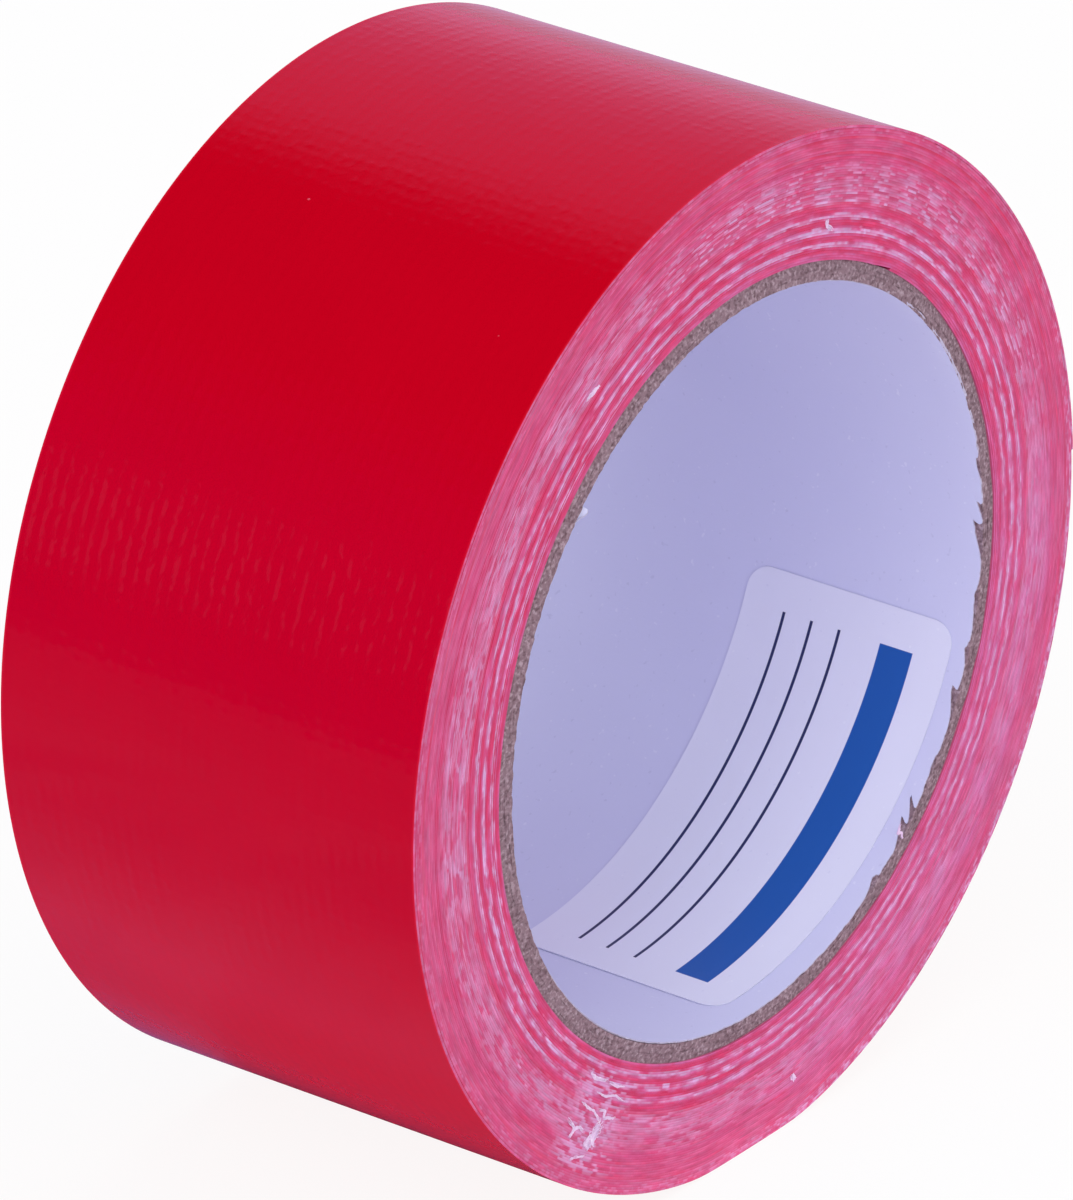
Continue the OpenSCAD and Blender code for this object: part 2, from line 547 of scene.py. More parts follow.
    def thread(self) -> Socket:
        """Masks all the torn and drawn thread, and the fringe at the rim with a painted sheen.

        Returns:
            The mask.
        """
        bench = self.bench
        faint = bench.times(self.ends, self.torn, self.field, self._zone(self.faint_band), 0.2)
        # Real fuzz at the rim, with a painted sheen: stronger on the side that faces the light
        fringe_and_sheen = bench.times(self._spots(self.turn, self.fringe_grain), self._zone(self.fringe_and_sheen_band))
        fringe_and_sheen = bench.times(fringe_and_sheen, bench.scale(self.lit_sheen, 0.3, 0.8))
        return bench.most(self._scales(), self._lines(), faint, self._tufted(), self._dashes(), fringe_and_sheen)

    def smear(self) -> Socket:
        """Masks the smears of gum, and the painted sheen on the side that faces the light.

        Returns:
            The mask.
        """
        bench = self.bench
        outside = self._zone(self.outer_band)
        smear = bench.times(
            self._spots(self.swept, self.smear_grain),
            bench.scale(self._zone(self.past_lines), 1.0, 0.4),
            bench.scale(outside, 1.0, 0.36),
        )
        # Painted sheen: lighter clouds on the side that faces the light, in the colour of the smears
        cloud = bench.scale(self._spots(self.turn, self.sheen_cloud_grain), 0.45, 1.0)
        return bench.most(smear, bench.times(self.lit_sheen, cloud, bench.scale(outside, 1.0, 0.38)))

    def bare(self) -> Socket:
        """Masks the bare film: in spots, between the drawn lines and in three rings.

        Returns:
            The mask.
        """
        bench = self.bench
        spots = bench.times(self._spots(self.swept, self.bare_grain), 0.8)
        between = bench.times(bench.step(self.ripple, 0.4, 0.05), self._zone(self.between_band), 0.6)
        rings = bench.most(
            bench.times(self._zone(self.middle_ring), self.ordered, 0.9),
            bench.times(self._zone(self.outer_ring), 0.9),
            bench.times(self._zone(self.inner_ring), 0.6),
        )
        return bench.times(bench.most(spots, between, rings), self.clear)

    def shade(self) -> Socket:
        """Gives the factor by which the edge is darker or lighter in fine streaks."""
        return self.bench.scale(self._noise(self.swept, self.shade_grain), 0.6, 1.38)


class Groups:
    """Node groups that several finishes share, each built once."""

    sway_scale: float = 160.0
    cross_sway: float = 0.35
    vary_scale: float = 640.0
    fibre_way: Triple = (1.0, 0.45, 1.0)
    fibre_scale: float = 2600.0
    fleck_level: float = 0.8

    def __init__(self) -> None:
        """Builds every group."""
        self.weave = self._weave()
        self.paper = self._paper()
        self.streaks = self._streaks()

    @staticmethod
    def _new(
        name: str, inputs: dict[str, str], outputs: tuple[str, ...]
    ) -> tuple[Bench, bpy.types.Node]:
        """Starts a group.

        Args:
            name: name of the group.
            inputs: kinds of its inputs, by name.
            outputs: names of its outputs, all of them values.

        Returns:
            The bench to work on and the node of the group's inputs.
        """
        tree = bpy.data.node_groups.new(name, "ShaderNodeTree")
        bench = Bench(tree)
        for socket, kind in inputs.items():
            tree.interface.new_socket(socket, in_out="INPUT", socket_type="NodeSocket" + kind)
        for socket in outputs:
            tree.interface.new_socket(socket, in_out="OUTPUT", socket_type="NodeSocketFloat")
        return bench, tree.nodes.new("NodeGroupInput")

    @staticmethod
    def _close(bench: Bench, outputs: dict[str, Socket]) -> bpy.types.NodeTree:
        """Links the outputs of a group.

        Args:
            bench: bench of the group.
            outputs: what its outputs give, by name.

        Returns:
            The tree of the group.
        """
        end = bench.tree.nodes.new("NodeGroupOutput")
        for name, socket in outputs.items():
            bench.tree.links.new(socket, end.inputs[name])
        return bench.tree

    def _weave(self) -> bpy.types.NodeTree:
        """Builds the relief of gauze: yarns along and across the strip, each a little uneven.

        Returns:
            The tree of the group.
        """
        numbers = ("Warp Pitch", "Weft Pitch", "Warp Share", "Unevenness")
        inputs = {"Strip": "Vector", **{name: "Float" for name in numbers}}
        bench, start = self._new("gauze_weave", inputs, ("Height", "Warp", "Weft"))
        sway = bench.noise(start.outputs["Strip"], self.sway_scale)
        sway = bench.times(bench.math("SUBTRACT", sway, 0.5), start.outputs["Unevenness"])
        parts = bench.add("SeparateXYZ", {0: start.outputs["Strip"]})
        along = bench.math("ADD", parts.outputs[0], sway)
        across = bench.math("ADD", parts.outputs[1], bench.times(sway, self.cross_sway))
        warp = bench.wave(across, start.outputs["Warp Pitch"])
        weft = bench.wave(along, start.outputs["Weft Pitch"])
        vary = bench.step(bench.noise(start.outputs["Strip"], self.vary_scale, 1.0), 0.36, 0.68)
        both = bench.math("MULTIPLY_ADD", warp, start.outputs["Warp Share"], weft)
        height = bench.times(both, bench.scale(vary, 0.3, 1.4))
        return self._close(bench, {"Height": height, "Warp": warp, "Weft": weft})

    def _paper(self) -> bpy.types.NodeTree:
        """Builds the grain of paper: fibre relief, flecks and slow clouds of tone.

        Returns:
            The tree of the group.
        """
        inputs = {"Place": "Vector", "Fleck Share": "Float", "Fleck Scale": "Float", "Cloud Scale": "Float"}
        bench, start = self._new("paper_grain", inputs, ("Height", "Fleck", "Cloud"))
        place = start.outputs["Place"]
        fibre = bench.noise(bench.vector("MULTIPLY", place, self.fibre_way), self.fibre_scale, 4.0)
        fleck = bench.noise(place, start.outputs["Fleck Scale"], 1.0)
        low = bench.math("SUBTRACT", self.fleck_level, start.outputs["Fleck Share"])
        fleck = bench.step(fleck, low, self.fleck_level)
        cloud = bench.noise(place, start.outputs["Cloud Scale"], 3.0)
        return self._close(bench, {"Height": fibre, "Fleck": fleck, "Cloud": cloud})

    def _streaks(self) -> bpy.types.NodeTree:
        """Builds the marks on the cut edges: masks of thread, smears and painted sheen, bare film, and a
        shade.

        Returns:
            The tree of the group.
        """
        inputs = {"Place": "Vector", "Turn": "Float", "Yarn Turn": "Float"}
        outputs = ("Thread", "Smear And Sheen", "Bare", "Shade")
        bench, start = self._new("edge_streaks", inputs, outputs)
        marks = EdgeMarks(bench, *(start.outputs[name] for name in inputs))
        masks = (marks.thread(), marks.smear(), marks.bare(), marks.shade())
        return self._close(bench, dict(zip(outputs, masks)))


@dataclass(frozen=True)
class FilmFinish:
    """Glossy red film, embossed by the gauze under it, with a painted highlight along its two edges."""

    groups: Groups
    width: float
    colour: Colour = srgb(196, 0, 28)
    # Painted highlight: lighter red along the film's edges, where they catch the light
    rim_colour: Colour = srgb(236, 44, 72)
    speck_colour: Colour = srgb(222, 84, 104)
    warp_pitch: float = 1.47 * MM
    weft_pitch: float = 1.36 * MM
    warp_share: float = 2.0
    # Width of the painted highlight along the edges of the film
    rim_w: float = 0.4 * MM
    relief: float = 0.0055 * MM
    peel_relief: float = 0.018 * MM
    unevenness: float = 0.9 * MM
    deep_share: float = 0.93
    tone_scale: float = 90.0
    speck_scale: float = 120.0
    speck_edge: Pair = (0.022, 0.012)
    speck_height: float = 3.0
    scuff_way: Triple = (0.25, 1.0, 1.0)
    scuff_scale: float = 700.0
    drag_way: Triple = (1.0, 0.07, 1.0)
    drag_scale: float = 330.0
    drag_share: float = 1.3
    peel_scale: float = 560.0
    roughness: Pair = (0.055, 0.135)
    gloss: float = 0.34

    def material(self) -> Material:
        """Builds the material.

        Returns:
            The film's face, on the strip's own map.
        """
        made, bench = new_finish("red_film")
        strip = bench.uv()
        weave = bench.group(self.groups.weave, {
            "Strip": strip,
            "Warp Pitch": self.warp_pitch,
            "Weft Pitch": self.weft_pitch,
            "Warp Share": self.warp_share,
            "Unevenness": self.unevenness,
        })
        across = bench.add("SeparateXYZ", {0: strip}).outputs[1]
        inset = bench.math("MINIMUM", across, bench.math("SUBTRACT", self.width, across))
        rim = bench.step(inset, self.rim_w, 0.0)
        cells = bench.add("TexVoronoi", {"Vector": strip, "Scale": self.speck_scale})
        speck = bench.step(cells.outputs["Distance"], *self.speck_edge)
        tone = bench.noise(strip, self.tone_scale, 3.0)
        deep = tuple(self.deep_share * c for c in self.colour[:3]) + (1.0,)
        colour = bench.mix(tone, deep, self.colour)
        colour = bench.mix(bench.times(speck, 0.8), colour, self.speck_colour)
        # Painted highlight: the edges of the film drawn lighter red
        colour = bench.mix(bench.times(rim, 0.4), colour, self.rim_colour)
        scuff = bench.noise(bench.vector("MULTIPLY", strip, self.scuff_way), self.scuff_scale, 3.0)
        rough = bench.scale(scuff, *self.roughness)
        drag = bench.noise(bench.vector("MULTIPLY", strip, self.drag_way), self.drag_scale)
        fine = bench.noise(strip, self.peel_scale, 3.0)
        peel = bench.bump(bench.math("MULTIPLY_ADD", drag, self.drag_share, fine), self.peel_relief)
        height = bench.math("ADD", weave.outputs["Height"], bench.times(speck, self.speck_height))
        relief = bench.add("Bump", {"Height": height, "Distance": self.relief, "Normal": peel})
        bench.surface({
            "Base Color": colour,
            "Roughness": rough,
            "Normal": relief.outputs[0],
            "Specular IOR Level": self.gloss,
        })
        return made


@dataclass(frozen=True)
class EdgeFinish:
    """Cut edge of a layer of the tape, with smears of gum, bare film, ends of torn thread and a painted
    sheen.
    """

    groups: Groups
    name: str
    colour: Colour
    # Colour of the smears of gum, also used for the painted sheen on the side that faces the light
    smear_and_sheen_colour: Colour
    thread_colour: Colour
    bare_colour: Colour
    yarn_turn: float = math.radians(5.9)
    roughness: Pair = (0.55, 0.85)
    fuzz_scale: float = 5200.0
    fuzz_relief: float = 0.02 * MM
    fuzz_share: float = 0.6
    gloss: float = 0.25

    def material(self) -> Material:
        """Builds the material.

        Returns:
            The finish of a cut edge.
        """
        made, bench = new_finish(self.name)
        turn = bench.add("Attribute", {}, attribute_name="turn").outputs["Fac"]
        place = bench.place()
        sockets = {"Place": place, "Turn": turn, "Yarn Turn": self.yarn_turn}
        streaks = bench.group(self.groups.streaks, sockets)
        # Smears of gum, and the painted sheen on the side that faces the light
        colour = bench.mix(streaks.outputs["Smear And Sheen"], self.colour, self.smear_and_sheen_colour)
        colour = bench.mix(streaks.outputs["Bare"], colour, self.bare_colour)
        colour = bench.mix(streaks.outputs["Thread"], colour, self.thread_colour)
        colour = bench.mix(1.0, colour, streaks.outputs["Shade"], "MULTIPLY")
        rough = bench.scale(streaks.outputs["Thread"], *self.roughness)
        fuzz = bench.noise(place, self.fuzz_scale)
        bench.surface({
            "Base Color": colour,
            "Roughness": rough,
            "Normal": bench.bump(fuzz, self.fuzz_relief, self.fuzz_share),
            "Specular IOR Level": self.gloss,
        })
        return made


@dataclass(frozen=True)
class ClothFinish:
    """Underside of the tape: gauze in a coat of tacky adhesive."""

    groups: Groups
    half_w: float
    rim_colour: Colour = srgb(204, 84, 132)
    rim_w: float = 0.5 * MM
    gum_colour: Colour = srgb(226, 196, 204)
    yarn_colour: Colour = srgb(244, 236, 232)
    warp_pitch: float = 1.47 * MM
    weft_pitch: float = 1.31 * MM
    warp_share: float = 1.3
    unevenness: float = 0.6 * MM
    yarn_edge: Pair = (0.6, 0.95)
    patch_scale: float = 60.0
    roughness: Pair = (0.22, 0.6)
    relief: float = 0.03 * MM
    gloss: float = 0.4

    def material(self) -> Material:
        """Builds the material.

        Returns:
            The gummed gauze, on the strip's own map.
        """
        made, bench = new_finish("gummed_cloth")
        strip = bench.uv()
        weave = bench.group(self.groups.weave, {
            "Strip": strip,
            "Warp Pitch": self.warp_pitch,
            "Weft Pitch": self.weft_pitch,
            "Warp Share": self.warp_share,
            "Unevenness": self.unevenness,
        })
        yarn = bench.most(*(bench.step(weave.outputs[way], *self.yarn_edge) for way in ("Warp", "Weft")))
        rough = bench.scale(bench.noise(strip, self.patch_scale, 3.0), *self.roughness)
        colour = bench.mix(yarn, self.gum_colour, self.yarn_colour)
        side = bench.math("ABSOLUTE", bench.add("SeparateXYZ", {0: bench.place()}).outputs[1])
        rim = bench.step(side, self.half_w - self.rim_w, self.half_w - 0.7 * self.rim_w)
        bench.surface({
            "Base Color": bench.mix(rim, colour, self.rim_colour),
            "Roughness": rough,
            "Normal": bench.bump(weave.outputs["Height"], self.relief),
            "Specular IOR Level": self.gloss,
        })
        return made


@dataclass(frozen=True)
class PaperFinish:
    """Paper or board, with fibre relief, flecks of two tones and slow clouds."""

    groups: Groups
    name: str
    colour: Colour
    cloud_colour: Colour
    light_fleck: Colour
    dark_fleck: Colour
    fleck_share: float = 0.12
    fleck_scale: float = 1500.0
    cloud_scale: float = 70.0
    relief: float = 0.01 * MM
    roughness: float = 0.7
    gloss: float = 0.25
    dark_shift: Triple = (0.31, 0.17, 0.23)

    def dress(self, bench: Bench) -> tuple[Socket, Socket]:
        """Adds the nodes of the paper.

        Args:
            bench: bench of the material's tree.

        Returns:
            The colour and the normal.
        """
        place = bench.place()
        sockets = {
            "Fleck Share": self.fleck_share,
            "Fleck Scale": self.fleck_scale,
            "Cloud Scale": self.cloud_scale,
        }
        light = bench.group(self.groups.paper, {"Place": place, **sockets})
        moved = bench.vector("ADD", place, self.dark_shift)
        dark = bench.group(self.groups.paper, {"Place": moved, **sockets})
        colour = bench.mix(light.outputs["Cloud"], self.colour, self.cloud_colour)
        colour = bench.mix(light.outputs["Fleck"], colour, self.light_fleck)
        colour = bench.mix(dark.outputs["Fleck"], colour, self.dark_fleck)
        return colour, bench.bump(light.outputs["Height"], self.relief)

    def material(self) -> Material:
        """Builds the material.

        Returns:
            The finish of the paper.
        """
        made, bench = new_finish(self.name)
        colour, normal = self.dress(bench)
        bench.surface({
            "Base Color": colour,
            "Normal": normal,
            "Roughness": self.roughness,
            "Specular IOR Level": self.gloss,
        })
        return made


@dataclass(frozen=True)
class LabelFinish:
    """Satin label paper with a plain printed band and ruled lines."""

    paper: PaperFinish
    length: float
    width: float
    ink: Colour = srgb(24, 84, 168)
    line_ink: Colour = srgb(38, 44, 92)
    band: Pair = (4.2 * MM, 8.2 * MM)
    margin: float = 4.0 * MM
    lines: tuple[float, ...] = (13.2 * MM, 16.6 * MM, 20.0 * MM)
    line_w: float = 0.35 * MM
    print_soft: float = 0.04 * MM
    roughness: float = 0.45
    gloss: float = 0.3

    def material(self) -> Material:
        """Builds the material.

        Returns:
            The label, printed on its own map.
        """
        made, bench = new_finish("label_paper")
        colour, normal = self.paper.dress(bench)
        along, across, _ = bench.add("SeparateXYZ", {0: bench.uv()}).outputs

        def between(value: Socket, low: float, high: float) -> Socket:
            """A stripe that is 1 between low and high, with a soft printed edge."""
            soft = self.print_soft
            return bench.window(value, Band(low - soft, low + soft, high - soft, high + soft))

        reach = between(along, self.margin, self.length - self.margin)
        colour = bench.mix(bench.times(reach, between(across, *self.band)), colour, self.ink)
        for line in self.lines:
            rule = between(across, line - self.line_w / 2, line + self.line_w / 2)
            colour = bench.mix(bench.times(reach, rule), colour, self.line_ink)
        bench.surface({
            "Base Color": colour,
            "Normal": normal,
            "Roughness": self.roughness,
            "Specular IOR Level": self.gloss,
        })
        return made


def mesh_from(name: str, body: bmesh.types.BMesh) -> bpy.types.Mesh:
    """Turns a worked bmesh into a mesh and frees it.

    Args:
        name: name of the mesh.
        body: the bmesh.

    Returns:
        The mesh.
    """
    mesh = bpy.data.meshes.new(name)
    body.to_mesh(mesh)
    body.free()
    return mesh


def placed(name: str, data: bpy.types.ID) -> Piece:
    """Puts a mesh or a camera into the scene.

    Args:
        name: name of the object.
        data: the mesh or the camera.

    Returns:
        The object.
    """
    piece = bpy.data.objects.new(name, data)
    bpy.context.scene.collection.objects.link(piece)
    return piece


def wrapped_strip(
    name: str,
    stations: int,
    sides: int,
    wrap: Shape,
    mapping: Shape,
    slots: Numbers,
    turn: Shape | None = None,
) -> Piece:
    """Wraps a grid round a section and along a path into one closed strip.

    Args:
        name: name of the piece.
        stations: number of sections along the strip.
        sides: number of points round a section.
        wrap: gives the places of points from their station and side numbers.
        mapping: gives their places on the strip's map in the same way.
        slots: material slot of the faces that follow each side.
        turn: gives the turn of the winding that each point lies on, where a finish needs it.

    Returns:
        The piece, with smooth faces and sharp edges.
    """
    sheet = bmesh.new()
    bmesh.ops.create_grid(sheet, x_segments=stations - 1, y_segments=sides, size=1.0)
    mesh = mesh_from(name, sheet)
    flat = np.empty(len(mesh.vertices) * 3)
    mesh.vertices.foreach_get("co", flat)
    share = (flat.reshape(-1, 3) / np.ptp(flat[0::3])) + 0.5
    station = np.rint(share[:, 0] * (stations - 1)).astype(int)
    side = np.rint(share[:, 1] * sides).astype(int)
    mesh.vertices.foreach_set("co", wrap(station, side % sides).ravel())
    corner = np.empty(len(mesh.loops), int)
    mesh.loops.foreach_get("vertex_index", corner)
    layer = mesh.uv_layers.new(name="strip")
    layer.uv.foreach_set("vector", mapping(station[corner], side[corner]).ravel())
    mesh.polygons.foreach_set("material_index", slots[side[corner].reshape(-1, 4).min(axis=1)])
    if turn is not None:
        value = mesh.attributes.new("turn", "FLOAT", "POINT")
        value.data.foreach_set("value", turn(station, side % sides))
    body = bmesh.new()
    body.from_mesh(mesh)
    bmesh.ops.remove_doubles(body, verts=body.verts[:], dist=MERGE_GAP)
    open_edges = [edge for edge in body.edges if edge.is_boundary]
    bmesh.ops.holes_fill(body, edges=open_edges, sides=0)
    bmesh.ops.recalc_face_normals(body, faces=body.faces[:])
    body.to_mesh(mesh)
    body.free()
    mesh.shade_smooth()
    mesh.set_sharp_from_angle(angle=SHARP_ANGLE)
    return placed(name, mesh)


def joined(name: str, parts: list[Piece]) -> Piece:
    """Joins loose parts into one piece.

    Args:
        name: name of the piece.
        parts: the parts, which the piece takes the place of.

    Returns:
        The piece.
    """
    body = bmesh.new()
    for part in parts:
        body.from_mesh(part.data)
        bpy.data.objects.remove(part)
    return placed(name, mesh_from(name, body))


def dress(piece: Piece, slot: Slot, *finishes: Material) -> None:
    """Gives a piece its finishes.

    Args:
        piece: the piece.
        slot: slot of the record; not used.
        finishes: materials in the order of the piece's material slots.
    """
    for finish in finishes:
        piece.data.materials.append(finish)
    log.info("%s: %d faces", piece.name, len(piece.data.polygons))


@dataclass(frozen=True)
class Tear:
    """A tear in the front edge of the liner: its place and half width in degrees, and its depth."""

    degrees: float
    half_w: float
    depth: float

    def inset(self, angle: Numbers) -> Numbers:
        """Gives the depth of the tear at each angle."""
        away = np.degrees(np.angle(np.exp(1j * (angle - math.radians(self.degrees)))))
        return self.depth * np.exp(-((away / self.half_w) ** 2))


@dataclass(frozen=True)
class Core:
    """Spiral-wound core: a white liner and the plies of grey board, each with its helical seam."""

    sizes: RollSizes
    ply_count: int = 4
    strip_w: float = 120 * MM
    seam_gap: float = 0.1 * MM
    liner_seam: float = math.radians(150)
    stations: int = 800
    ply_rows: int = 24
    ply_columns: int = 4
    liner_rows: int = 44
    board_inset: float = 0.1 * MM
    board_rough: float = 0.18 * MM
    board_slope: float = 0.26 * MM
    liner_inset: float = 0.02 * MM
    liner_hidden: float = 0.3 * MM
    shown_angle: float = math.radians(-30)
    fray: float = 0.14 * MM
    thinned: float = 0.06 * MM
    flare: float = 0.17 * MM
    flare_angle: float = math.radians(42)
    flare_spread: float = math.radians(36)
    tears: tuple[Tear, ...] = (
        Tear(-58.0, 1.6, 0.5 * MM),
        Tear(-49.0, 1.3, 1.1 * MM),
        Tear(-45.6, 0.7, 1.3 * MM),
        Tear(-38.0, 2.2, 0.3 * MM),
        Tear(-27.5, 1.6, 0.8 * MM),
        Tear(-20.0, 1.4, 0.5 * MM),
        Tear(-12.0, 2.4, 0.35 * MM),
        Tear(-2.0, 1.7, 1.3 * MM),
        Tear(2.5, 0.8, 0.7 * MM),
        Tear(10.0, 1.5, 0.4 * MM),
    )
    flap: Tear = Tear(135.7, 0.9, 0.9 * MM)

    def _angle(self, inner: float, seam: float, station: Numbers, axial: Numbers) -> Numbers:
        """Finds the angle of points of a strip wound as a helix.

        Args:
            inner: inner radius of the strip.
            seam: angle of its seam at mid width.
            station: number of each point along the strip.
            axial: place of each point along the axis.

        Returns:
            The angles.
        """
        lead = 2 * math.pi * inner * math.tan(math.asin(self.strip_w / (2 * math.pi * inner)))
        gap = self.seam_gap / inner
        share = station / (self.stations - 1)
        return seam + 2 * math.pi * axial / lead + gap / 2 + share * (2 * math.pi - gap)

    def _ring(
        self, name: str, inner: float, outer: float, seam: float, rows: int, columns: int, worn: Wear
    ) -> Piece:
        """Builds a strip wound as a helix, from one edge of its seam to the other.

        Args:
            name: name of the piece.
            inner: inner radius.
            outer: outer radius.
            seam: angle of the seam at mid width.
            rows: points along the walls of the section.
            columns: points through its thickness, at each end.
            worn: gives, for an end, the inset and the spread of each station and column.

        Returns:
            The piece, with slot 0 on its walls and slot 1 on its cut ends.
        """
        s = self.sizes
        through = np.linspace(0, 1, columns)
        along = np.linspace(-1, 1, rows + 2)[1:-1]
        depth = np.concatenate([through, np.ones(rows), through[::-1], np.zeros(rows)])
        reach = np.concatenate([np.full(columns, -1), along, np.full(columns, 1), along[::-1]])
        sides = len(depth)
        column = np.rint(depth * (columns - 1)).astype(int)
        wear = {end: worn(end) for end in End}

        def wrap(station: Numbers, side: Numbers) -> Numbers:
            """Places the points: front end outwards, outer wall, back end inwards, inner wall.

            Args:
                station: number of each point along the strip.
                side: number of each point round the section.

            Returns:
                The places of the points.
            """
            axial = reach[side] * s.half_w
            radius = inner + depth[side] * (outer - inner)
            for end, (inset, spread) in wear.items():
                here = reach[side] == end.value
                axial = np.where(here, axial - end.value * inset[column[side], station], axial)
                radius = np.where(here, radius + spread[column[side], station], radius)
            angle = self._angle(inner, seam, station, axial)
            return np.stack([radius * np.cos(angle), axial, radius * np.sin(angle)], axis=1)

        def mapping(station: Numbers, side: Numbers) -> Numbers:
            """Maps length round the strip and width across it, in metres."""
            length = station / self.stations * 2 * math.pi * inner
            return np.stack([length, (1 + reach[side % sides]) * s.half_w], axis=1)

        slots = np.zeros(sides, int)
        slots[: columns - 1] = 1
        slots[columns + rows : 2 * columns + rows - 1] = 1
        return wrapped_strip(name, self.stations, sides, wrap, mapping, slots)

    def _ply(self, number: int) -> Piece:
        """Builds one ply, with rough fibres on its two cut ends.

        Args:
            number: number of the ply, from the inside.

        Returns:
            The piece.
        """
        s = self.sizes
        columns = self.ply_columns
        ply_t = (s.core_r - s.board_r) / self.ply_count
        inner = s.board_r + (number - 1) * ply_t
        seam = self.liner_seam + number * 2 * math.pi / (self.ply_count + 1)

        def worn(end: End) -> tuple[Numbers, Numbers]:
            """Draws the fibres of an end.

            Args:
                end: end of the roll.

            Returns:
                The inset and the spread of each column and station.
            """
            seed = 100 * number + 10 * end.value
            fibres = np.stack([rough_line(seed + i, self.stations, 0.7 + i) for i in range(columns)])
            outwards = (number - 1 + np.linspace(0, 1, columns)) / self.ply_count
            slope = self.board_slope * outwards[:, None]
            inset = self.board_inset + slope + self.board_rough * (fibres - 0.5)
            return inset, np.zeros_like(inset)

        name = f"board_ply_{number}"
        return self._ring(name, inner, inner + ply_t, seam, self.ply_rows, columns, worn)

    def _liner(self) -> Piece:
        """Builds the liner, whose two cut ends are frayed and, in front, torn off the board.

        Returns:
            The piece.
        """
        s = self.sizes

        def worn(end: End) -> tuple[Numbers, Numbers]:
            """Draws the frayed edge of an end, with the tears of the front one.

            Args:
                end: end of the roll.

            Returns:
                The inset and the spread of each column and station.
            """
            count = self.stations
            angle = self._angle(s.bore_r, self.liner_seam, np.arange(count), end.value * s.half_w)
            ragged = rough_line(40 + end.value, count, 1.2) ** 2
            fine = rough_line(50 + end.value, count, 0.7)
            inset = self.liner_inset + self.fray * (ragged + 0.6 * fine)
            hidden = np.clip(0.35 - 0.9 * np.cos(angle - self.shown_angle), 0, 1)
            inset += self.liner_hidden * hidden
            flare = np.zeros(count)
            curl = np.zeros(count)
            if end is End.FRONT:
                curl = self.flap.inset(angle)
                inset += sum(tear.inset(angle) for tear in self.tears) * (0.7 + 0.6 * fine)
                away = np.angle(np.exp(1j * (angle - self.flare_angle)))
                flare = self.flare * np.exp(-((away / self.flare_spread) ** 2)) * (0.7 + 0.6 * fine)
            inset = np.maximum(inset - 0.5 * curl, 0)
            edge = np.stack([inset, inset])
            return edge, np.stack([flare - curl, 2.2 * flare - curl - self.thinned])

        return self._ring("bore_liner", s.bore_r, s.board_r, self.liner_seam, self.liner_rows, 2, worn)

    def build(
        self, board: Material, paper: Material, torn: Material
    ) -> None:
        """Builds and dresses the liner and the plies.

        Args:
            board: finish of the plies.
            paper: finish of the liner.
            torn: finish of the liner's torn ends.
        """
        liner = self._liner()
        dress(liner, Slot.PAPER, paper, torn)
        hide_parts("core_liner")
        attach(liner, "roll")
        for number in range(1, self.ply_count + 1):
            ply = self._ply(number)
            dress(ply, Slot.BOARD, board, board)
            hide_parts(f"core_ply_{number}")
            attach(ply, "roll")


@dataclass(frozen=True)
class Label:
    """Rounded paper label on the wall of the bore, its edges a little lifted."""

    sizes: RollSizes
    length: float = 50.5 * MM
    width: float = 25 * MM
    thickness: float = 0.1 * MM
    back_share: float = 0.8
    corner: float = 2.5 * MM
    angle: float = math.radians(-54)
    inset: float = 2.5 * MM
    askew: float = math.radians(-1.3)
    lift: float = 0.05 * MM
    lift_reach: float = 0.6 * MM
    stations: int = 97
    columns: int = 49

    def build(self, finish: Material) -> None:
        """Builds and dresses the label.

        Args:
            finish: material of the label.
        """
        s = self.sizes
        back_sides = 2
        sides = self.columns + back_sides
        middle = -s.half_w + self.inset + self.width / 2

        def spot(station: Numbers, side: Numbers) -> tuple[Numbers, Numbers]:
            """Finds the flat place of points, from the middle of the label.

            Args:
                station: number of each point along the strip.
                side: number of each point round the section.

            Returns:
                The place along the strip and the distance across it, of each point.
            """
            along = -0.5 * self.length * np.cos(math.pi * station / (self.stations - 1))
            past = np.maximum(np.abs(along) - (self.length / 2 - self.corner), 0)
            half = self.width / 2 - self.corner + np.sqrt(np.maximum(self.corner**2 - past**2, 0))
            column = np.where(side < self.columns, side, (sides - 1 - side) * (self.columns - 1))
            across = -half * np.cos(math.pi * column / (self.columns - 1))
            return along, across

        def wrap(station: Numbers, side: Numbers) -> Numbers:
            """Places the points on the wall of the bore, face first and then back.

            Args:
                station: number of each point along the strip.
                side: number of each point round the section.

            Returns:
                The places of the points.
            """
            along, across = spot(station, side)
            edge = np.minimum(self.length / 2 - np.abs(along), self.width / 2 - np.abs(across))
            raised = self.lift * np.exp(-edge / self.lift_reach)
            face = s.bore_r - self.thickness - raised
            radius = np.where(side < self.columns, face, face + self.back_share * self.thickness)
            angle = self.angle + along / s.bore_r
            axial = middle + across + along * math.tan(self.askew)
            return np.stack([radius * np.cos(angle), axial, radius * np.sin(angle)], axis=1)

        def mapping(station: Numbers, side: Numbers) -> Numbers:
            """Maps the label flat, from its corner, in metres."""
            along, across = spot(station, side % sides)
            return np.stack([along + self.length / 2, across + self.width / 2], axis=1)

        label = wrapped_strip(
            "bore_label", self.stations, sides, wrap, mapping, np.zeros(sides, int)
        )
        dress(label, Slot.LABEL, finish)
        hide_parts("paper_label")
        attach(label, "roll")


@dataclass(frozen=True)
class TapeFinishes:
    """Finishes of the two layers of the tape and of their cut edges."""

    film: Material
    film_edge: Material
    cloth: Material
    cloth_edge: Material

    def on_film(self, piece: Piece) -> None:
        """Dresses a piece of film."""
        dress(piece, Slot.FILM, self.film, self.film_edge)

    def on_cloth(self, piece: Piece) -> None:
        """Dresses a piece of gummed cloth."""
        dress(piece, Slot.CLOTH, self.cloth, self.cloth_edge)


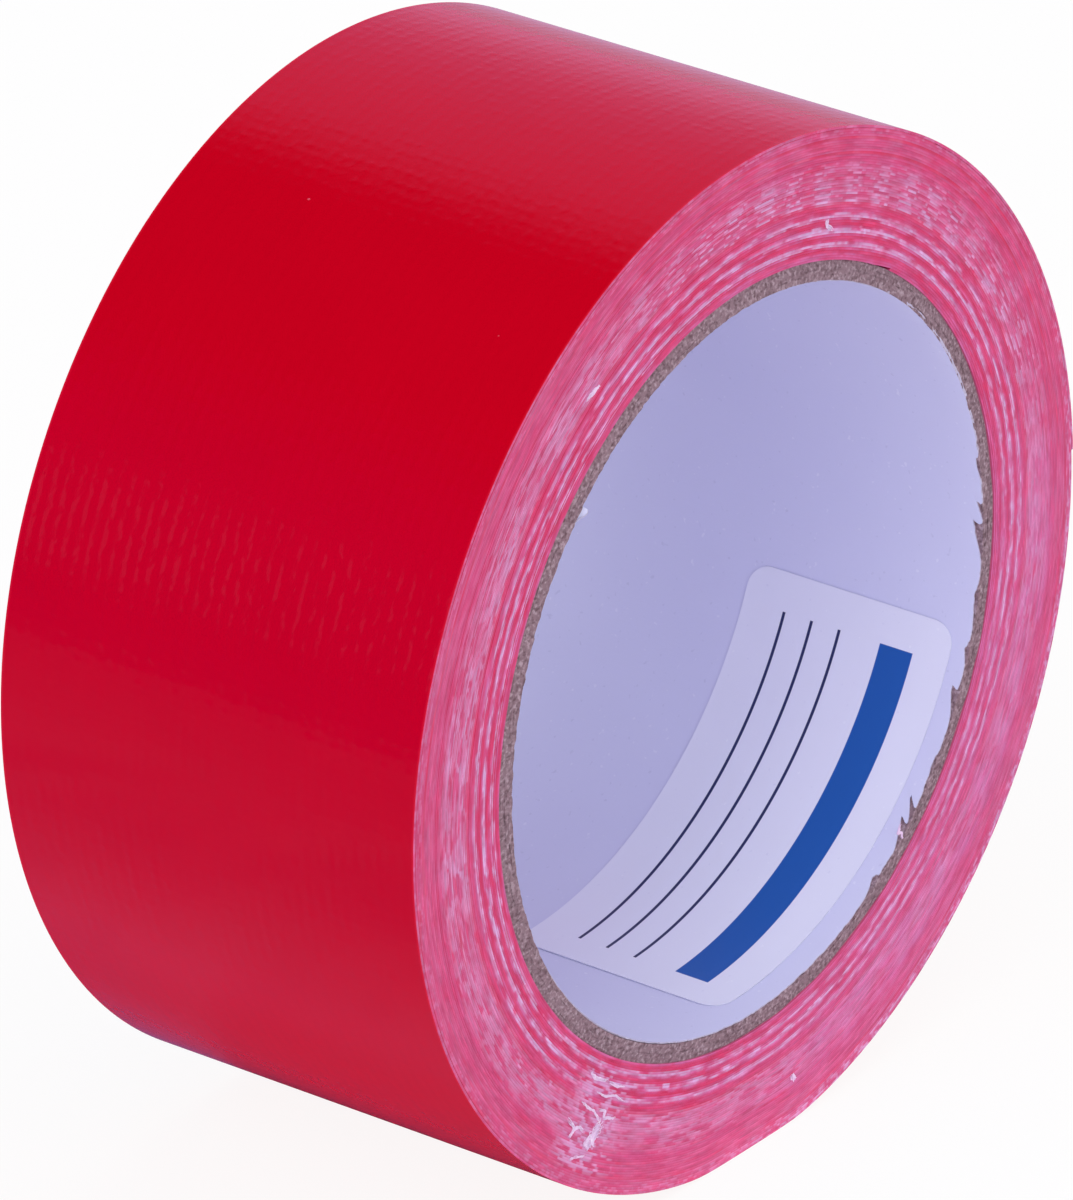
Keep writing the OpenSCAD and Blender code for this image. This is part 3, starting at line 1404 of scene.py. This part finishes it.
@dataclass(frozen=True)
class WoundTape:
    """All the turns under the outer one: film and cloth, each one long spiral strip."""

    sizes: RollSizes
    per_turn: int = 330
    margin: float = 0.014 * MM
    group_depth: float = 0.12 * MM
    turn_depth: float = 0.03 * MM
    sway_depth: float = 0.04 * MM
    sway_blur: float = 14.0
    group_turns: int = 4
    loose_turns: float = 9.0
    least_group: float = 0.2
    edge_seeds: tuple[int, int] = (31, 57)
    trimmed_turns: float = 10.0
    trimmed_share: float = 0.92
    first_step: float = 0.012
    step_growth: float = 1.22
    film_proud: float = 0.004 * MM

    @property
    def turns(self) -> int:
        """Number of real turns in the wound body."""
        return round((self.sizes.start_r - self.sizes.core_r) / self.sizes.tape_t)

    @property
    def pitch(self) -> float:
        """Rise of the spiral in one turn, up to the underside of the outer turn's start."""
        s = self.sizes
        return (s.start_r + s.turn_rise / 4 * math.cos(s.peel) - self.margin - s.core_r) / self.turns

    def _climb(self, turned: Numbers) -> Numbers:
        """Gives the height of the spiral, in pitches: the first turns step over the tape's start.

        Args:
            turned: turns from the start of the tape.

        Returns:
            The height at each point.
        """
        whole = np.floor(turned)
        share = np.minimum(self.first_step * self.step_growth**whole, 1.0)
        return whole + np.maximum(turned - whole - 1 + share, 0) / share

    def _under(self, turned: Numbers) -> Numbers:
        """Finds the radius of the underside of the tape, also on the outer turn.

        Args:
            turned: turns from the start of the tape.

        Returns:
            The radius at each point.
        """
        s = self.sizes
        past = np.maximum(turned - self.turns, 0) * 2 * math.pi
        half = np.clip(np.ceil((past - s.peel) / math.pi), 0, 2)
        shift = np.where(half == 1, -1, 1) * s.turn_rise / 4
        outer = s.start_r + half * s.turn_rise / 2 + shift * np.cos(s.peel - past) - self.margin
        return np.where(turned < self.turns, s.core_r + self.pitch * self._climb(turned), outer)

    def _insets(self, seed: int) -> Numbers:
        """Draws how far the cut edge lies behind the end of the roll, along the whole spiral.

        Args:
            seed: seed of the draw.

        Returns:
            The inset at each station.
        """
        draw = np.random.default_rng(seed)
        station = np.arange(self.turns * self.per_turn + 1)
        turn = station / self.per_turn
        marks = np.arange(self.turns + 2)
        group_marks = marks[:: self.group_turns]
        groups = np.interp(turn, group_marks, draw.random(len(group_marks)))
        near_core = np.exp(-turn / self.loose_turns)
        single = np.interp(turn, marks, draw.random(len(marks)))
        sway = rough_line(seed + 1, len(station), self.sway_blur)
        inset = self.group_depth * groups * (self.least_group + near_core) + self.turn_depth * single
        last = self.turns - self.trimmed_turns
        outside = np.clip((turn - last) / (self.trimmed_turns - 1), 0, 1)
        return (inset + self.sway_depth * sway) * (1 - self.trimmed_share * outside)

    def _strip(self, name: str, under: float, over: float | None, proud: float) -> Piece:
        """Builds one layer of the tape as a spiral.

        Args:
            name: name of the piece.
            under: distance of its inner face over the underside of the tape.
            over: distance of its outer face, or none where it fills up to the next turn.
            proud: distance by which its edges stand out from the common line.

        Returns:
            The piece, with slot 0 on its faces and slot 1 on its cut edges.
        """
        s = self.sizes
        stations = self.turns * self.per_turn + 1
        insets = np.stack([self._insets(seed) for seed in self.edge_seeds])

        def wrap(station: Numbers, side: Numbers) -> Numbers:
            """Places the four corners of the section: front edge outwards, back edge inwards.

            Args:
                station: number of each point along the strip.
                side: number of each point round the section.

            Returns:
                The places of the points.
            """
            turned = station / self.per_turn
            back = side >= 2
            low = self._under(turned)
            high = self._under(turned + 1) if over is None else low + over
            radius = np.where((side == 0) | (side == 3), low + under, high)
            angle = s.peel - 2 * math.pi * turned
            inset = np.maximum(insets[back.astype(int), station] - proud, 0)
            axial = np.where(back, 1, -1) * (s.half_w - inset)
            height = s.settle(radius, radius * np.sin(angle))
            return np.stack([radius * np.cos(angle), axial, height], axis=1)

        def mapping(station: Numbers, side: Numbers) -> Numbers:
            """Maps the length along the spiral and the steps round the section, in metres.

            Args:
                station: number of each point along the strip.
                side: number of each point round the section.

            Returns:
                The places on the map.
            """
            turned = station / self.per_turn
            length = 2 * math.pi * (s.core_r * turned + self.pitch * turned**2 / 2)
            return np.stack([length, side * MM], axis=1)

        def turn(station: Numbers, side: Numbers) -> Numbers:
            """Gives the turn that the points lie on."""
            return station / self.per_turn

        slots = np.array([1, 0, 1, 0])
        return wrapped_strip(name, stations, 4, wrap, mapping, slots, turn)

    def build(self, finishes: TapeFinishes) -> None:
        """Builds and dresses the two spirals.

        Args:
            finishes: finishes of the tape.
        """
        s = self.sizes
        cloth = self._strip("wound_cloth_turns", 0.0, s.cloth_t, 0.0)
        finishes.on_cloth(cloth)
        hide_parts("wound_cloth")
        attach(cloth, "roll")
        film = self._strip("wound_film_turns", s.cloth_t, None, self.film_proud)
        finishes.on_film(film)
        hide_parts("wound_film")
        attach(film, "roll")


@dataclass(frozen=True)
class TapeStrip:
    """A stretch of the outer turn or of the free end, in its two layers."""

    sizes: RollSizes
    wound_turns: int
    yarn_pitch: float = 1.47 * MM
    yarn_sway: float = 0.12 * MM
    yarns: int = 97
    yarn_seed: int = 71
    sway_waves: Pair = (7.0, 40.0)
    least_strength: float = 0.55
    more_strength: float = 0.9
    mean_swell: float = 0.75
    swell_depth: float = 0.35
    swell_waves: Pair = (23.0, 5.1)
    crest_shares: Pair = (0.85, 0.15)
    trim_waves: tuple[int, ...] = (5, 11, 23, 47, 83)
    ridge: float = 0.003 * MM
    rim: float = 0.05 * MM
    edge_sway: float = 0.05 * MM
    sag: float = 0.04 * MM
    sag_turn: float = 0.02
    columns: int = 341

    def _ridges(self, across: Numbers, turned: Numbers) -> Numbers:
        """Finds how far the film dips between the yarns under it.

        Args:
            across: distance across the tape.
            turned: angle turned along the tape.

        Returns:
            The depth under the crests.
        """
        round_roll, over_tape = self.sway_waves
        sway = self.yarn_sway * np.sin(round_roll * turned + over_tape * across / self.sizes.half_w)
        phase = 2 * math.pi * (across + sway) / self.yarn_pitch
        yarn = np.floor((across + sway) / self.yarn_pitch + 0.5).astype(int) % self.yarns
        uneven = rough_line(self.yarn_seed, self.yarns, 0.4)[yarn]
        strength = self.least_strength + self.more_strength * uneven
        along, from_yarn = self.swell_waves
        swell = self.mean_swell + self.swell_depth * np.sin(along * turned + from_yarn * yarn)
        round_top, sharp_top = self.crest_shares
        crest = round_top * np.cos(phase) + sharp_top * np.cos(2 * phase)
        return self.ridge * 0.5 * (1 - crest) * strength * swell

    def _trim(self, turned: Numbers) -> Numbers:
        """Finds how far the cut edges lie behind the ends of the roll, in a slow uneven line."""
        waves = sum(np.sin(k * turned + 1.7 * k) / k for k in self.trim_waves)
        return self.edge_sway * np.clip(0.5 + 1.2 * waves, 0, 1)

    def _layer(
        self, name: str, stations: int, sides: int, spot: Spot, wrap: Shape, rims: list[int]
    ) -> Piece:
        """Wraps one layer of a stretch, with its map and the turn that it lies on.

        Args:
            name: name of the piece.
            stations: number of sections.
            sides: number of points round a section.
            spot: gives the angle turned and the distance across the tape of points.
            wrap: gives the places of points.
            rims: sides that the cut edges follow.

        Returns:
            The piece, with slot 0 on its faces and slot 1 on its cut edges.
        """

        def mapping(station: Numbers, side: Numbers) -> Numbers:
            """Maps the strip flat, in metres."""
            turned, across = spot(station, np.minimum(side, sides - 1))
            return np.stack([self.sizes.roll_r * turned, across], axis=1)

        def turn(station: Numbers, side: Numbers) -> Numbers:
            """Gives the turn that the points lie on."""
            return self.wound_turns + spot(station, side)[0] / (2 * math.pi)

        slots = np.zeros(sides, int)
        slots[rims] = 1
        return wrapped_strip(name, stations, sides, wrap, mapping, slots, turn)

    def film(self, name: str, start: float, end: float, stations: int) -> Piece:
        """Builds the film of a stretch, embossed by the yarns.

        Args:
            name: name of the piece.
            start: angle turned at its start.
            end: angle turned at its end.
            stations: number of sections.

        Returns:
            The piece, with slot 0 on its faces and slot 1 on its cut edges.
        """
        s = self.sizes
        sides = self.columns + 4
        inside = np.array([0, sides - 1])

        def spot(station: Numbers, side: Numbers) -> tuple[Numbers, Numbers]:
            """Finds the angle turned and the distance across the tape.

            Args:
                station: number of each point along the strip.
                side: number of each point round the section.

            Returns:
                The place along the strip and the distance across it, of each point.
            """
            turned = start + (end - start) * station / (stations - 1)
            share = np.clip((side - 2) / (self.columns - 1), 0, 1)
            share = np.where(side < 2, 0, np.where(side >= sides - 2, 1, share))
            rim = np.where((side < 2) | (side >= sides - 2), 0, self.rim) + self._trim(turned)
            return turned, rim + share * 2 * (s.half_w - rim)

        def wrap(station: Numbers, side: Numbers) -> Numbers:
            """Places the points: inner corner, rounded rim, face, rim and inner corner.

            Args:
                station: number of each point along the strip.
                side: number of each point round the section.

            Returns:
                The places of the points.
            """
            turned, across = spot(station, side)
            edge = (side == 1) | (side == sides - 2)
            lift = s.tape_t - np.where(edge, self.rim, self._ridges(across, turned))
            lift = np.where(np.isin(side, inside), s.cloth_t, lift)
            x, z = s.outer_path(turned, lift)
            return np.stack([x, across - s.half_w, z], axis=1)

        return self._layer(name, stations, sides, spot, wrap, [0, 1, sides - 3, sides - 2])

    def cloth(self, name: str, start: float, end: float, stations: int) -> Piece:
        """Builds the gummed cloth of a stretch, with its yarns standing out of the gum.

        Args:
            name: name of the piece.
            start: angle turned at its start.
            end: angle turned at its end.
            stations: number of sections.

        Returns:
            The piece, with slot 0 on its faces and slot 1 on its cut edges.
        """
        s = self.sizes
        columns = (self.columns + 1) // 2
        sides = columns + 2

        def spot(station: Numbers, side: Numbers) -> tuple[Numbers, Numbers]:
            """Finds the angle turned and the distance across the tape.

            Args:
                station: number of each point along the strip.
                side: number of each point round the section.

            Returns:
                The place along the strip and the distance across it, of each point.
            """
            turned = start + (end - start) * station / (stations - 1)
            share = np.where(side == columns + 1, 0, np.clip(side / (columns - 1), 0, 1))
            trim = self._trim(turned)
            return turned, trim + share * 2 * (s.half_w - trim)

        def wrap(station: Numbers, side: Numbers) -> Numbers:
            """Places the points: underside from front to back, then the two outer corners.

            Args:
                station: number of each point along the strip.
                side: number of each point round the section.

            Returns:
                The places of the points.
            """
            turned, across = spot(station, side)
            sag = self.sag * np.clip((turned - 2 * math.pi) / self.sag_turn, 0, 1)
            dip = np.where(side < columns, self._ridges(across, turned) - sag, s.cloth_t)
            x, z = s.outer_path(turned, dip)
            return np.stack([x, across - s.half_w, z], axis=1)

        return self._layer(name, stations, sides, spot, wrap, [columns - 1, sides - 1])


@dataclass(frozen=True)
class OuterTurn:
    """The last whole turn, which the roll shows all round."""

    strip: TapeStrip
    stations: int = 260

    def build(self, finishes: TapeFinishes) -> None:
        """Builds and dresses the two layers.

        Args:
            finishes: finishes of the tape.
        """
        film = self.strip.film("outer_film", 0.0, 2 * math.pi, self.stations)
        finishes.on_film(film)
        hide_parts("outer_turn_film")
        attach(film, "roll")
        cloth = self.strip.cloth("outer_cloth", 0.0, 2 * math.pi, self.stations)
        finishes.on_cloth(cloth)
        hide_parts("outer_turn_cloth")
        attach(cloth, "roll")


@dataclass(frozen=True)
class FreeEnd:
    """The end of the tape that lifts off, in lengths cut halfway between its hinges."""

    strip: TapeStrip
    stations: int = 25

    def _point(self, turned: float) -> Triple:
        """Finds the middle of the film's face at an angle turned.

        Args:
            turned: angle turned from the start of the outer turn.

        Returns:
            The point, in metres.
        """
        s = self.strip.sizes
        x, z = s.outer_path(np.array([turned]), np.array([s.tape_t]))
        return (float(x[0]), 0.0, float(z[0]))

    def build(self, finishes: TapeFinishes) -> None:
        """Builds and dresses the lengths of both layers.

        Args:
            finishes: finishes of the tape.
        """
        s = self.strip.sizes
        bodies = ["roll", *(joint["child"] for joint in frame["joints"])]
        cuts = [0.0, *(k + 0.5 for k in range(s.hinges)), float(s.hinges)]
        for k in range(s.hinges + 1):
            start, end = (2 * math.pi + s.end_turn * cut for cut in cuts[k : k + 2])
            film = self.strip.film(f"free_film_{k + 1}", start, end, self.stations)
            finishes.on_film(film)
            cloth = self.strip.cloth(f"free_cloth_{k + 1}", start, end, self.stations)
            finishes.on_cloth(cloth)
            if k > 0:
                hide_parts(f"end_film_{k}")
                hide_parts(f"end_cloth_{k}")
            for piece in (film, cloth):
                if k < s.hinges:
                    self._point(start)
                    self._point(end)
                    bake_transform(piece)
                else:
                    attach(piece, bodies[k])


@dataclass(frozen=True)
class Strand:
    """A wisp of torn thread on the front end: its width and its places by radius and degrees."""

    width: float
    places: tuple[tuple[float, float], ...]


@dataclass(frozen=True)
class FrayedThreads:
    """Wisps of gauze that the knife has pulled out of the cut edges, each of a few fine fibres."""

    sizes: RollSizes
    per_step: int = 9
    sides: int = 5
    fibre_w: float = 0.1 * MM
    spread: float = 0.5
    scatter: float = 1.1
    top_height: float = 0.04 * MM
    sink: float = 0.16 * MM
    least_fibres: int = 4
    fibres_per_mm: int = 24
    strands: tuple[Strand, ...] = (
        Strand(1.5, ((49.5, -122.9), (48.9, -122.7), (48.2, -122.2), (47.4, -121.8), (46.3, -121.3))),
        Strand(0.34, ((46.1, -121.3), (45.8, -118.6))),
        Strand(0.34, ((46.6, -121.8), (45.7, -123.7), (45.6, -125.6), (45.3, -127.3))),
        Strand(0.31, ((46.1, -121.3), (45.4, -121.3), (45.4, -122.9))),
        Strand(0.42, ((48.2, -122.3), (49.1, -121.4))),
        Strand(0.51, ((48.8, -123.6), (49.2, -122.6))),
        Strand(0.42, ((47.4, -128.6), (48.0, -126.4), (47.7, -125.5), (47.9, -124.5))),
        Strand(0.37, ((48.0, -126.4), (48.5, -126.5), (49.0, -126.9))),
        Strand(0.4, ((42.4, -127.6), (42.7, -125.9), (42.5, -122.8))),
        Strand(0.3, ((50.9, -125.1), (50.5, -124.2), (50.1, -122.6))),
        Strand(0.3, ((42.6, -122.7), (42.8, -120.3), (42.5, -118.7))),
        Strand(0.22, ((43.9, -124.7), (44.0, -122.2), (43.7, -120.1), (44.1, -117.7))),
        Strand(0.6, ((48.0, -81.8), (48.9, -81.3))),
        Strand(0.45, ((44.3, 75.3), (43.7, 74.9), (43.1, 73.6))),
        Strand(0.5, ((45.8, 122.6), (46.3, 125.5))),
        Strand(0.27, ((38.2, -49.0), (37.6, -48.3), (37.1, -48.9), (36.6, -47.2))),
    )

    def _fibre(self, seed: int, strand: Strand) -> Piece:
        """Builds one fibre of a wisp.

        Args:
            seed: seed of its way through the wisp.
            strand: width and places of the wisp.

        Returns:
            The fibre.
        """
        s = self.sizes
        draw = np.random.default_rng(seed)
        count = self.per_step * (len(strand.places) - 1) + 1
        last = len(strand.places) - 1
        marks = np.linspace(0.2 * draw.random() * last, last - 0.25 * draw.random() * last, count)
        radius, degrees = np.array(strand.places).T
        radius = np.interp(marks, np.arange(last + 1), radius)
        angle = np.radians(np.interp(marks, np.arange(last + 1), degrees))
        track = np.stack([radius * np.cos(angle), radius * np.sin(angle)], axis=1) * MM
        run = np.gradient(track, axis=0)
        across = np.stack([-run[:, 1], run[:, 0]], axis=1) / np.linalg.norm(run, axis=1)[:, None]
        way = rough_line(seed + 1, count, 2.0) - 0.5 + self.scatter * (draw.random() - 0.5)
        spread = self.spread * strand.width * MM * way
        track = track + across * spread[:, None]
        taper = np.sin(np.linspace(0.35, math.pi - 0.2, count)) ** 0.5
        half = self.fibre_w / 2 * taper * (0.6 + 0.8 * rough_line(seed + 2, count, 0.9))
        height = self.top_height - self.sink * draw.random()

        def wrap(station: Numbers, side: Numbers) -> Numbers:
            """Places the points of a round section along the track.

            Args:
                station: number of each point along the strip.
                side: number of each point round the section.

            Returns:
                The places of the points.
            """
            turn = 2 * math.pi * side / self.sides
            spot = track[station] + across[station] * (half[station] * np.cos(turn))[:, None]
            rise = height + half[station] * (1 + np.sin(turn))
            return np.stack([spot[:, 0], rise - s.half_w, spot[:, 1]], axis=1)

        def mapping(station: Numbers, side: Numbers) -> Numbers:
            """Maps the fibre flat, in metres."""
            return np.stack([station * 0.1 * MM, side * 0.05 * MM], axis=1)

        return wrapped_strip("fibre", count, self.sides, wrap, mapping, np.zeros(self.sides, int))

    def _strand(self, number: int, strand: Strand) -> Piece:
        """Builds one wisp of as many fibres as its width takes.

        Args:
            number: number of the wisp, which seeds its fibres.
            strand: its width and places.

        Returns:
            The piece.
        """
        fibres = self.least_fibres + round(strand.width * self.fibres_per_mm)
        parts = [self._fibre(1000 * (number + 1) + 10 * k, strand) for k in range(fibres)]
        return joined(f"frayed_thread_{number + 1}", parts)

    def build(self, finish: Material) -> None:
        """Builds and dresses every wisp.

        Args:
            finish: material of the thread.
        """
        for number, strand in enumerate(self.strands):
            piece = self._strand(number, strand)
            dress(piece, Slot.CLOTH, finish)
            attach(piece, "roll")


@dataclass(frozen=True)
class FloorStep:
    """A rise in the light that the film mirrors from the floor: its start, its end and its share."""

    start: float
    end: float
    share: float


@dataclass(frozen=True)
class Studio:
    """Pale floor, soft light and the camera."""

    sizes: RollSizes
    azimuth: float = math.radians(-52.683)
    elevation: float = math.radians(25.501)
    distance: float = 1.2466
    aim: Triple = (-0.7475 * MM, 0.7392 * MM, -0.3069 * MM)
    lens: float = 383.65
    sensor: float = 36.0
    near_clip: float = 0.05
    floor_half: float = 4.0
    floor_colour: Colour = srgb(246, 246, 247)
    floor_white: float = 0.9
    floor_gloss: Colour = (0.42, 0.35, 0.74, 1.0)
    floor_near: Colour = (0.2, 0.165, 0.37, 1.0)
    floor_dark: Colour = (0.01, 0.01, 0.33, 1.0)
    floor_far: Colour = (0.6, 0.42, 0.63, 1.0)
    floor_fill: float = 0.78
    floor_steps: tuple[FloorStep, ...] = (
        FloorStep(-0.385, -0.36, 0.22),
        FloorStep(-0.24, -0.1, 0.17),
        FloorStep(-0.1, -0.055, 0.36),
    )
    near_edge: Pair = (-0.055, -0.036)
    far_edge: Pair = (0.05, 0.2)
    front_edge: Pair = (0.0, -0.1)
    front_slant: float = 0.25
    hatch_way: Triple = (0.15, 1.0, 1.0)
    hatch_scale: float = 200.0
    hatch_edge: Pair = (-0.06, -0.13)
    hatch_depth: Pair = (0.15, 0.7)
    under_side: Pair = (0.09, 0.04)
    under_depth: Pair = (0.04, 0.02)
    wall_tint: Colour = (0.8, 0.28, 0.62, 1.0)
    skyline_tint: Colour = (0.85, 0.42, 0.76, 1.0)
    flag_tint: Colour = (0.006, 0.004, 0.01, 1.0)
    flag_glow: Colour = (0.02, 0.004, 0.3, 1.0)
    glint_tint: Colour = (0.4, 0.2, 0.6, 1.0)
    key: Triple = (-0.66, -0.42, 0.62)
    key_base: float = 0.8
    key_share: float = 1.05
    wall_band: Band = Band(0.3, 0.42, 0.69, 0.8)
    skyline_top: float = 0.45
    flag_edge: Pair = (0.46, 0.14)
    glow_edge: Pair = (-0.35, -0.8)
    glint_side: Pair = (-0.5, -0.62)
    glint_across: Band = Band(0.59, 0.605, 0.645, 0.66)
    glint_high: Band = Band(0.0, 0.12, 0.3, 0.42)

    def camera(self) -> None:
        """Makes the camera at the photograph's viewing angle."""
        flat = math.cos(self.elevation)
        back = Vector((
            math.sin(self.azimuth) * flat,
            -math.cos(self.azimuth) * flat,
            math.sin(self.elevation),
        ))
        data = bpy.data.cameras.new("camera")
        data.lens = self.lens
        data.sensor_width = self.sensor
        data.clip_start = self.near_clip
        camera = placed("camera", data)
        camera.location = Vector(self.aim) + back * self.distance
        camera.rotation_mode = "QUATERNION"
        camera.rotation_quaternion = (-back).to_track_quat("-Z", "Y")
        bpy.context.scene.camera = camera

    def _mirrored(self, bench: Bench, side: Socket, front: Socket) -> Socket:
        """Builds the tone that the film mirrors: brighter in steps, hatched, and pale in front.

        Args:
            bench: bench of the floor's tree.
            side: place along X.
            front: mask of the floor in front of the roll.

        Returns:
            The tone.
        """
        near = 0.0
        for rise in self.floor_steps:
            near = bench.math("MULTIPLY_ADD", bench.step(side, rise.start, rise.end), rise.share, near)
        hatch = bench.noise(bench.vector("MULTIPLY", bench.place(), self.hatch_way), self.hatch_scale, 1.0)
        hatch = bench.math("SUBTRACT", bench.step(hatch, 0.3, 0.7), 0.5)
        hatch = bench.times(hatch, bench.scale(bench.step(side, *self.hatch_edge), *self.hatch_depth))
        near = bench.times(near, bench.math("ADD", hatch, 1.0))
        shade = bench.mix(near, self.floor_dark, self.floor_gloss)
        shade = bench.mix(bench.step(side, *self.near_edge), shade, self.floor_near)
        pale = bench.most(bench.step(side, *self.far_edge), front)
        return bench.mix(pale, shade, self.floor_far)

    def _floor_finish(self) -> Material:
        """Builds the floor's material.

        Returns:
            The finish, in which a ray sees the floor's colour, its mirrored tone or plain white.
        """
        made, bench = new_finish("pale_floor")
        path = bench.add("LightPath", {})
        seen = bench.most(path.outputs["Is Camera Ray"], path.outputs["Is Transmission Ray"])
        seen = bench.times(seen, self.floor_white)
        side, depth, _ = bench.add("SeparateXYZ", {0: bench.place()}).outputs
        slant = bench.math("MULTIPLY_ADD", side, self.front_slant, depth)
        front = bench.step(slant, *self.front_edge)
        shade = self._mirrored(bench, side, front)
        tone = bench.mix(path.outputs["Is Glossy Ray"], self.floor_colour, shade)
        soft = path.outputs["Is Diffuse Ray"]
        first = self.floor_steps[0]
        behind = bench.math("SUBTRACT", 1.0, front)
        past = bench.times(bench.step(side, first.end, first.start), soft, behind)
        tone = bench.mix(past, tone, self.floor_dark)
        under = bench.times(
            bench.step(bench.math("ABSOLUTE", side), *self.under_side),
            bench.step(bench.math("ABSOLUTE", depth), *self.under_depth),
        )
        fill = bench.times(under, soft, self.floor_fill)
        white = bench.add("Emission", {"Color": WHITE, "Strength": 1.0})
        matte = bench.add("BsdfDiffuse", {"Color": tone})
        glow = bench.add("Emission", {"Color": WHITE, "Strength": fill})
        lit = bench.add("AddShader", {0: matte.outputs[0], 1: glow.outputs[0]})
        blend = bench.add("MixShader", {0: seen, 1: lit.outputs[0], 2: white.outputs[0]})
        bench.add("OutputMaterial", {"Surface": blend.outputs[0]})
        return made

    def floor(self) -> None:
        """Makes the floor, white to the camera and still holding the roll's shadow."""
        sheet = bmesh.new()
        bmesh.ops.create_grid(sheet, x_segments=8, y_segments=8, size=self.floor_half)
        bmesh.ops.translate(sheet, verts=sheet.verts[:], vec=(0, 0, self.sizes.floor_z))
        floor = placed("floor", mesh_from("floor", sheet))
        floor.data.materials.append(self._floor_finish())

    def sky(self) -> None:
        """Lights the room: white, with a tinted wall behind the roll and a dark flag on its left."""
        world = bpy.data.worlds.new("room")
        bpy.context.scene.world = world
        world.use_nodes = True
        bench = Bench(world.node_tree)
        way = bench.add("TexCoord", {}).outputs["Generated"]
        side, across, high = bench.add("SeparateXYZ", {0: way}).outputs
        toward = bench.add("VectorMath", {0: way, 1: self.key}, operation="DOT_PRODUCT").outputs["Value"]
        lobe = bench.math("POWER", bench.most(toward, 0.0), 2.0)
        level = bench.math("MULTIPLY_ADD", lobe, self.key_share, self.key_base)
        room = bench.mix(level, BLACK, WHITE)
        room.node.clamp_factor = False
        wall = bench.mix(bench.step(high, self.skyline_top, 0.0), self.wall_tint, self.skyline_tint)
        flag = bench.mix(bench.step(side, *self.glow_edge), self.flag_tint, self.flag_glow)
        wall = bench.mix(bench.step(side, *self.flag_edge), wall, flag)
        glint = bench.times(
            bench.window(across, self.glint_across),
            bench.step(side, *self.glint_side),
            bench.window(high, self.glint_high),
        )
        wall = bench.mix(glint, wall, self.glint_tint)
        light = bench.mix(bench.window(across, self.wall_band), room, wall)
        path = bench.add("LightPath", {})
        light = bench.mix(path.outputs["Is Camera Ray"], light, WHITE)
        sky = bench.add("Background", {"Color": light, "Strength": 1.0})
        bench.add("OutputWorld", {"Surface": sky.outputs[0]})

    def build(self) -> None:
        """Makes the camera, the floor and the light."""
        self.camera()
        self.floor()
        self.sky()
        bpy.context.scene.view_settings.view_transform = "Standard"


def main() -> None:
    """Builds every piece in order."""
    logging.basicConfig(level=logging.INFO, format="%(name)s %(message)s")
    sizes = RollSizes.from_frame()
    Studio(sizes).build()
    groups = Groups()
    board = PaperFinish(
        groups, "grey_board", srgb(144, 118, 130), srgb(130, 104, 115), srgb(174, 152, 164),
        srgb(102, 78, 87), fleck_share=0.4, fleck_scale=2600.0, cloud_scale=300.0,
        relief=0.04 * MM, roughness=0.85,
    )
    liner = PaperFinish(
        groups, "white_paper", srgb(206, 206, 238), srgb(201, 201, 235), srgb(214, 214, 242),
        srgb(194, 194, 228), fleck_share=0.1,
    )
    label_paper = PaperFinish(
        groups, "label_base", srgb(224, 224, 246), srgb(220, 220, 243), srgb(228, 228, 248),
        srgb(216, 216, 241), fleck_share=0.06, relief=0.004 * MM,
    )
    torn = PaperFinish(
        groups, "torn_paper", srgb(186, 180, 208), srgb(178, 170, 198), srgb(206, 202, 226),
        srgb(160, 146, 166), fleck_share=0.25, fleck_scale=2600.0, relief=0.03 * MM,
    )
    Core(sizes).build(board.material(), liner.material(), torn.material())
    label = Label(sizes)
    label.build(LabelFinish(label_paper, label.length, label.width).material())
    finishes = TapeFinishes(
        film=FilmFinish(groups, 2 * sizes.half_w).material(),
        film_edge=EdgeFinish(
            groups, "film_edge", srgb(202, 50, 102), srgb(203, 92, 150), srgb(208, 152, 202),
            srgb(206, 32, 78),
        ).material(),
        cloth=ClothFinish(groups, sizes.half_w).material(),
        cloth_edge=EdgeFinish(
            groups, "cloth_edge", srgb(203, 62, 116), srgb(206, 108, 166), srgb(212, 168, 214),
            srgb(206, 40, 88),
        ).material(),
    )
    wound = WoundTape(sizes)
    wound.build(finishes)
    strip = TapeStrip(sizes, wound.turns)
    OuterTurn(strip).build(finishes)
    FreeEnd(strip).build(finishes)
    thread = PaperFinish(
        groups, "loose_thread", srgb(234, 212, 240), srgb(226, 194, 230), srgb(242, 230, 248),
        srgb(218, 168, 208), fleck_share=0.2, relief=0.02 * MM,
    )
    FrayedThreads(sizes).build(thread.material())


if __name__ == "__main__":
    main()
